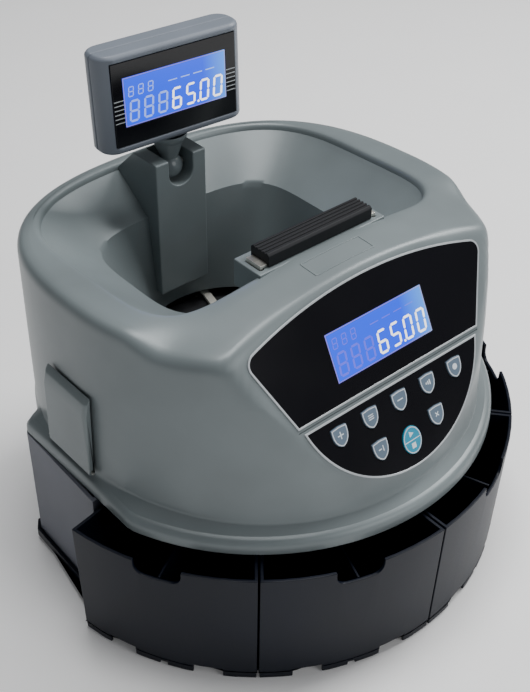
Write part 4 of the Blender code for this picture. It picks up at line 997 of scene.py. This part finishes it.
def make_readout(name, half, centre_v, surface, plane, body, ghost_paint):
    """The digits of one display: three unlit ones, then 65.00, and a small unlit row above."""
    pitch = 2 * half[0] / 7.25
    low_u, low_v = -half[0] + 0.32 * pitch, centre_v - half[1] + 3 * MM
    size = (0.56 * pitch, 13.2 * MM, 0.72 * MM)
    unlit = []
    for i in range(3):
        unlit += digit("8", low_u + i * pitch, low_v, *size)
    small_v = low_v + 16.6 * MM
    for i in range(3):
        unlit += digit("8", low_u + i * 0.68 * pitch, small_v, 3.4 * MM, 6.2 * MM, 0.36 * MM)
    for i in range(4):
        unlit.append(bar((low_u + (3.1 + 0.9 * i) * pitch, small_v + 3 * MM), 3.4 * MM, 0.35 * MM))
    lit = []
    for i, text in enumerate("6500"):
        lit += digit(text, low_u + (3 + i) * pitch, low_v, *size)
    lit.append(oval((low_u + 4.86 * pitch, low_v), 0.8 * MM, 0.8 * MM, 16))
    make_digits(name + "_unlit", unlit, surface, plane, ghost_paint, body)
    make_digits(name + "_lit", lit, surface + 0.04 * MM, plane, LIT, body)


softened("main_lcd", BACKLIGHT, "cover", 0.2 * MM)
MAIN_GLASS = 0.3 * MM
make_readout("main_digits", LCD, 0, MAIN_GLASS, PANEL, "cover", GHOST)
inner_line = offset(window, -0.55 * MM)
glass_line = strip("main_glass_edge", window, inner_line, 0.1 * MM, MAIN_GLASS + 0.12 * MM, PANEL)
dress(glass_line, GLASS_EDGE, "cover")
print("main display")

# %% [markdown]
# The customer display is a flat case with rounded ends. Its halves meet in a thin seam, the window is a
# glossy sheet, and six fine pale lines run out from the glass to each side.

# %% Customer display
for shell in ("display_front_shell", "display_back_shell"):
    softened(shell, HEAD_GREY, "display_head", 0.9 * MM, 3, 40)
softened("display_window", GLOSS, "display_head", 0.2 * MM)
softened("display_lcd", BACKLIGHT, "display_head", 0.2 * MM)

HEAD_LCD = (38.4 * MM, 16.2 * MM)
HEAD_RISE = 1.1 * MM
HEAD_GLASS = HEAD_FACE - 0.4 * MM
WINDOW_TOP = HEAD_FACE - 0.2 * MM


def make_stalk():
    """The foot of the head: a polished ball in the post's slot and a neck that flares to a collar."""
    bpy.ops.object.select_all(action="DESELECT")
    bpy.ops.mesh.primitive_uv_sphere_add(segments=40, ring_count=24, radius=9.1 * MM, location=PIVOT)
    ball = bpy.context.object
    bpy.ops.object.transform_apply(location=True, rotation=True, scale=True)
    profile = [(5.6, 5.0), (6.2, 11.0), (8.0, 15.5), (11.5, 20.5), (13.0, 22.6), (13.0, 24.6), (12.6, 25.0)]
    rings = []
    for radius, z in profile:
        ring = arc(radius * MM, 0, 352.5, 47, (PIVOT.x, PIVOT.y))
        rings.append([(x, y, PIVOT.z + z * MM) for x, y in ring])
    neck = lofted("neck", rings)
    stalk = joined("display_foot", [ball, neck])
    smooth(stalk, 50)
    dress(stalk, POLISHED, "display_arm", ["display_stalk"])


make_stalk()


def make_head_details():
    glass = bar((0, HEAD_RISE), *HEAD_LCD)
    make_readout("head_digits", HEAD_LCD, HEAD_RISE, HEAD_GLASS, HEAD, "display_head", PALE_GHOST)
    edge = strip("head_glass_edge", glass, offset(glass, -0.5 * MM), HEAD_GLASS - 0.2 * MM,
                 HEAD_GLASS + 0.1 * MM, HEAD)
    dress(edge, GLASS_EDGE, "display_head")
    lines = []
    for side in (-1, 1):
        for i in range(6):
            middle = (side * 42.35 * MM, HEAD_RISE + 2.2 * MM - i * 2.9 * MM)
            lines.append(slab("line", bar(middle, 3.55 * MM, 0.32 * MM), WINDOW_TOP - 0.1 * MM,
                              WINDOW_TOP + 0.06 * MM, HEAD))
    dress(joined("head_side_lines", lines), SILVER, "display_head")


make_head_details()

# %% [markdown]
# ## Handle, latches and base
# These pieces keep their CAD shape with softened edges: the ribbed rubber grip and its steel strap, the two
# side latches, the base with its pan and feet, and the four coin cups.

# %% Handle and latches
softened("handle_grip", RUBBER, "handle", 0.35 * MM, 2)
softened("handle_strap", STEEL, "handle", 0.3 * MM, 2)
softened("latch_left", HOUSING, "left_latch", 1.0 * MM, 3, 25)
softened("latch_right", HOUSING, "right_latch", 1.0 * MM, 3, 25)

# %% [markdown]
# The base is one thin-walled moulding with two cheeks, open in front where the cups go in. It meets the cover
# and the pan in straight seams, so it keeps its edges plain, while the pan's lip and the feet are rounded.

# %% Base, pan and feet
softened("base_housing", BASE_GREY, "base", 0)
softened("base_pan", CHARCOAL, "base", 0.5 * MM, 2)
for number in range(1, 5):
    softened(f"foot_{number}", RUBBER, "base", 0.6 * MM, 2)

# %% [markdown]
# A coin cup is a wedge-shaped bin with a divider, a finger notch and a slotted skirt below its floor. Four of
# them stand side by side in a fan, and the thin light line along each wall's top is a rounded edge.

# %% Coin cups
for number in range(1, 5):
    softened(f"coin_cup_{number}", CHARCOAL, f"cup_{number}", 0.6 * MM, 2)

# %% [markdown]
# ## Inside and at the back
# What shows through the hopper's opening is rubber, bright metal and white plastic: the turned disc under
# its mat, and the pusher wheel with its domed hub. Small bevels are enough here.

# %% Sorting parts
softened("sorting_disc", TURNED, "sorter", 0.3 * MM, 2)
softened("disc_mat", MAT, "sorter", 0.3 * MM, 2)
softened("pusher_wheel", WHITE, "sorter", 0.5 * MM, 2)
softened("sort_ring", TURNED, "base", 0.3 * MM, 2)

# %% [markdown]
# At the back a flat pad carries three standard fittings: a mains inlet with three blades in its well, a
# rocker switch in its frame, and a small square data socket in bare metal.

# %% Sockets
softened("power_inlet", SOCKET_BLACK, "base", 0.3 * MM, 2)
softened("switch_frame", SOCKET_BLACK, "base", 0.3 * MM, 2)
softened("power_rocker", SOCKET_BLACK, "rocker", 0.4 * MM, 2)
softened("data_socket", STEEL, "base", 0.3 * MM, 2)

# %% [markdown]
# The rest is out of sight until the cover is opened: the drive, the boards, the transformer and the pins.
# These keep their CAD meshes and only get the finish of their material.

# %% Finishes of the inner parts
INNER = {
    CHARCOAL: ["chute_ring"],
    RUBBER: ["drive_belt"],
    STEEL: ["latch_pin_left", "latch_pin_right", "hinge_pin_left", "hinge_pin_right", "display_pin",
            "drive_shaft", "lower_bearing", "upper_bearing", "motor", "transformer"],
    ALUMINIUM: ["mech_plate", "bearing_housing", "motor_bracket"],
    GREEN: ["control_board", "display_board", "power_board"],
    WHITE: ["driven_pulley", "motor_pulley"],
    COPPER: ["coin_sensor"],
}
for paint, names in INNER.items():
    for name in names:
        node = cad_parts[name]
        node.data.materials.clear()
        node.data.materials.append(paint)
print(sum(len(names) for names in INNER.values()), "inner parts finished")

# %% [markdown]
# ## Setting
# The machine stands on a pale paper floor. It is wide enough to lie behind the machine in nearly every view,
# and almost without shine, so that only a soft shadow shows on it.

# %% Floor
FLOOR_SIZE = 40
FLOOR_GLOW = 0.06
bpy.ops.object.select_all(action="DESELECT")
bpy.ops.mesh.primitive_plane_add(size=FLOOR_SIZE, location=(0, 0, 0))
floor = bpy.context.object
floor.name = "floor"
floor_paint = plastic("floor_paper", (250, 250, 250), 0.85, grain=300, strength=0.0, drift=0.004, shine=0.1)
floor_shader = floor_paint.node_tree.nodes["Principled BSDF"]
floor_shader.inputs["Emission Color"].default_value = (1, 1, 1, 1)
floor_shader.inputs["Emission Strength"].default_value = FLOOR_GLOW
floor.data.materials.append(floor_paint)
print("floor is", FLOOR_SIZE, "m wide")

# %% [markdown]
# Three wide area lamps give soft shadows: the main one from the right, a weak one from the front and one from
# above. A dim, slightly blue world stands for the room, and keeps the black plastic black.

# %% Lamps
ROOM_LIGHT = 0.11


def add_lamp(name, place, aim, size, power):
    light = bpy.data.lights.new(name, "AREA")
    light.size = size
    light.energy = power
    lamp = bpy.data.objects.new(name, light)
    lamp.location = place
    lamp.rotation_euler = (Vector(aim) - Vector(place)).to_track_quat("-Z", "Y").to_euler()
    bpy.context.scene.collection.objects.link(lamp)
    print(name, "is", round((Vector(aim) - Vector(place)).length, 2), "m away")


add_lamp("key_light", (1.3, -0.2, 1.4), (0, 0, 0.15), 0.7, 25)
add_lamp("fill_light", (0.35, -1.7, 1.0), (0, 0, 0.15), 1.0, 9)
add_lamp("top_light", (0.15, 0.15, 1.9), (0, 0, 0.2), 0.8, 25)
world = bpy.data.worlds.new("soft_room")
world.use_nodes = True
world.node_tree.nodes["Background"].inputs["Color"].default_value = (0.9, 0.93, 1.0, 1)
world.node_tree.nodes["Background"].inputs["Strength"].default_value = ROOM_LIGHT
bpy.context.scene.world = world

# %% [markdown]
# The camera looks down at the machine from its front left, as someone standing by the table would. Such a
# view has no symmetry to work it out from, so its place and its three axes are given as numbers.

# %% Camera
CAMERA_PLACE = Vector((-408.6, -451.95, 618.3)) * MM
RIGHT = Vector((0.75455, -0.65614, 0.01155))
DOWN = Vector((-0.39720, -0.47063, -0.78787))
FORWARD = Vector((0.52239, 0.58990, -0.61573))
lens = bpy.data.cameras.new("camera")
lens.lens = 59.84
lens.sensor_width = 36
camera = bpy.data.objects.new("camera", lens)
turn = Matrix((RIGHT, -DOWN, -FORWARD)).transposed().to_4x4()
camera.matrix_world = Matrix.Translation(CAMERA_PLACE) @ turn
bpy.context.scene.collection.objects.link(camera)
bpy.context.scene.camera = camera
print("camera is", round(CAMERA_PLACE.length, 2), "m from the origin")
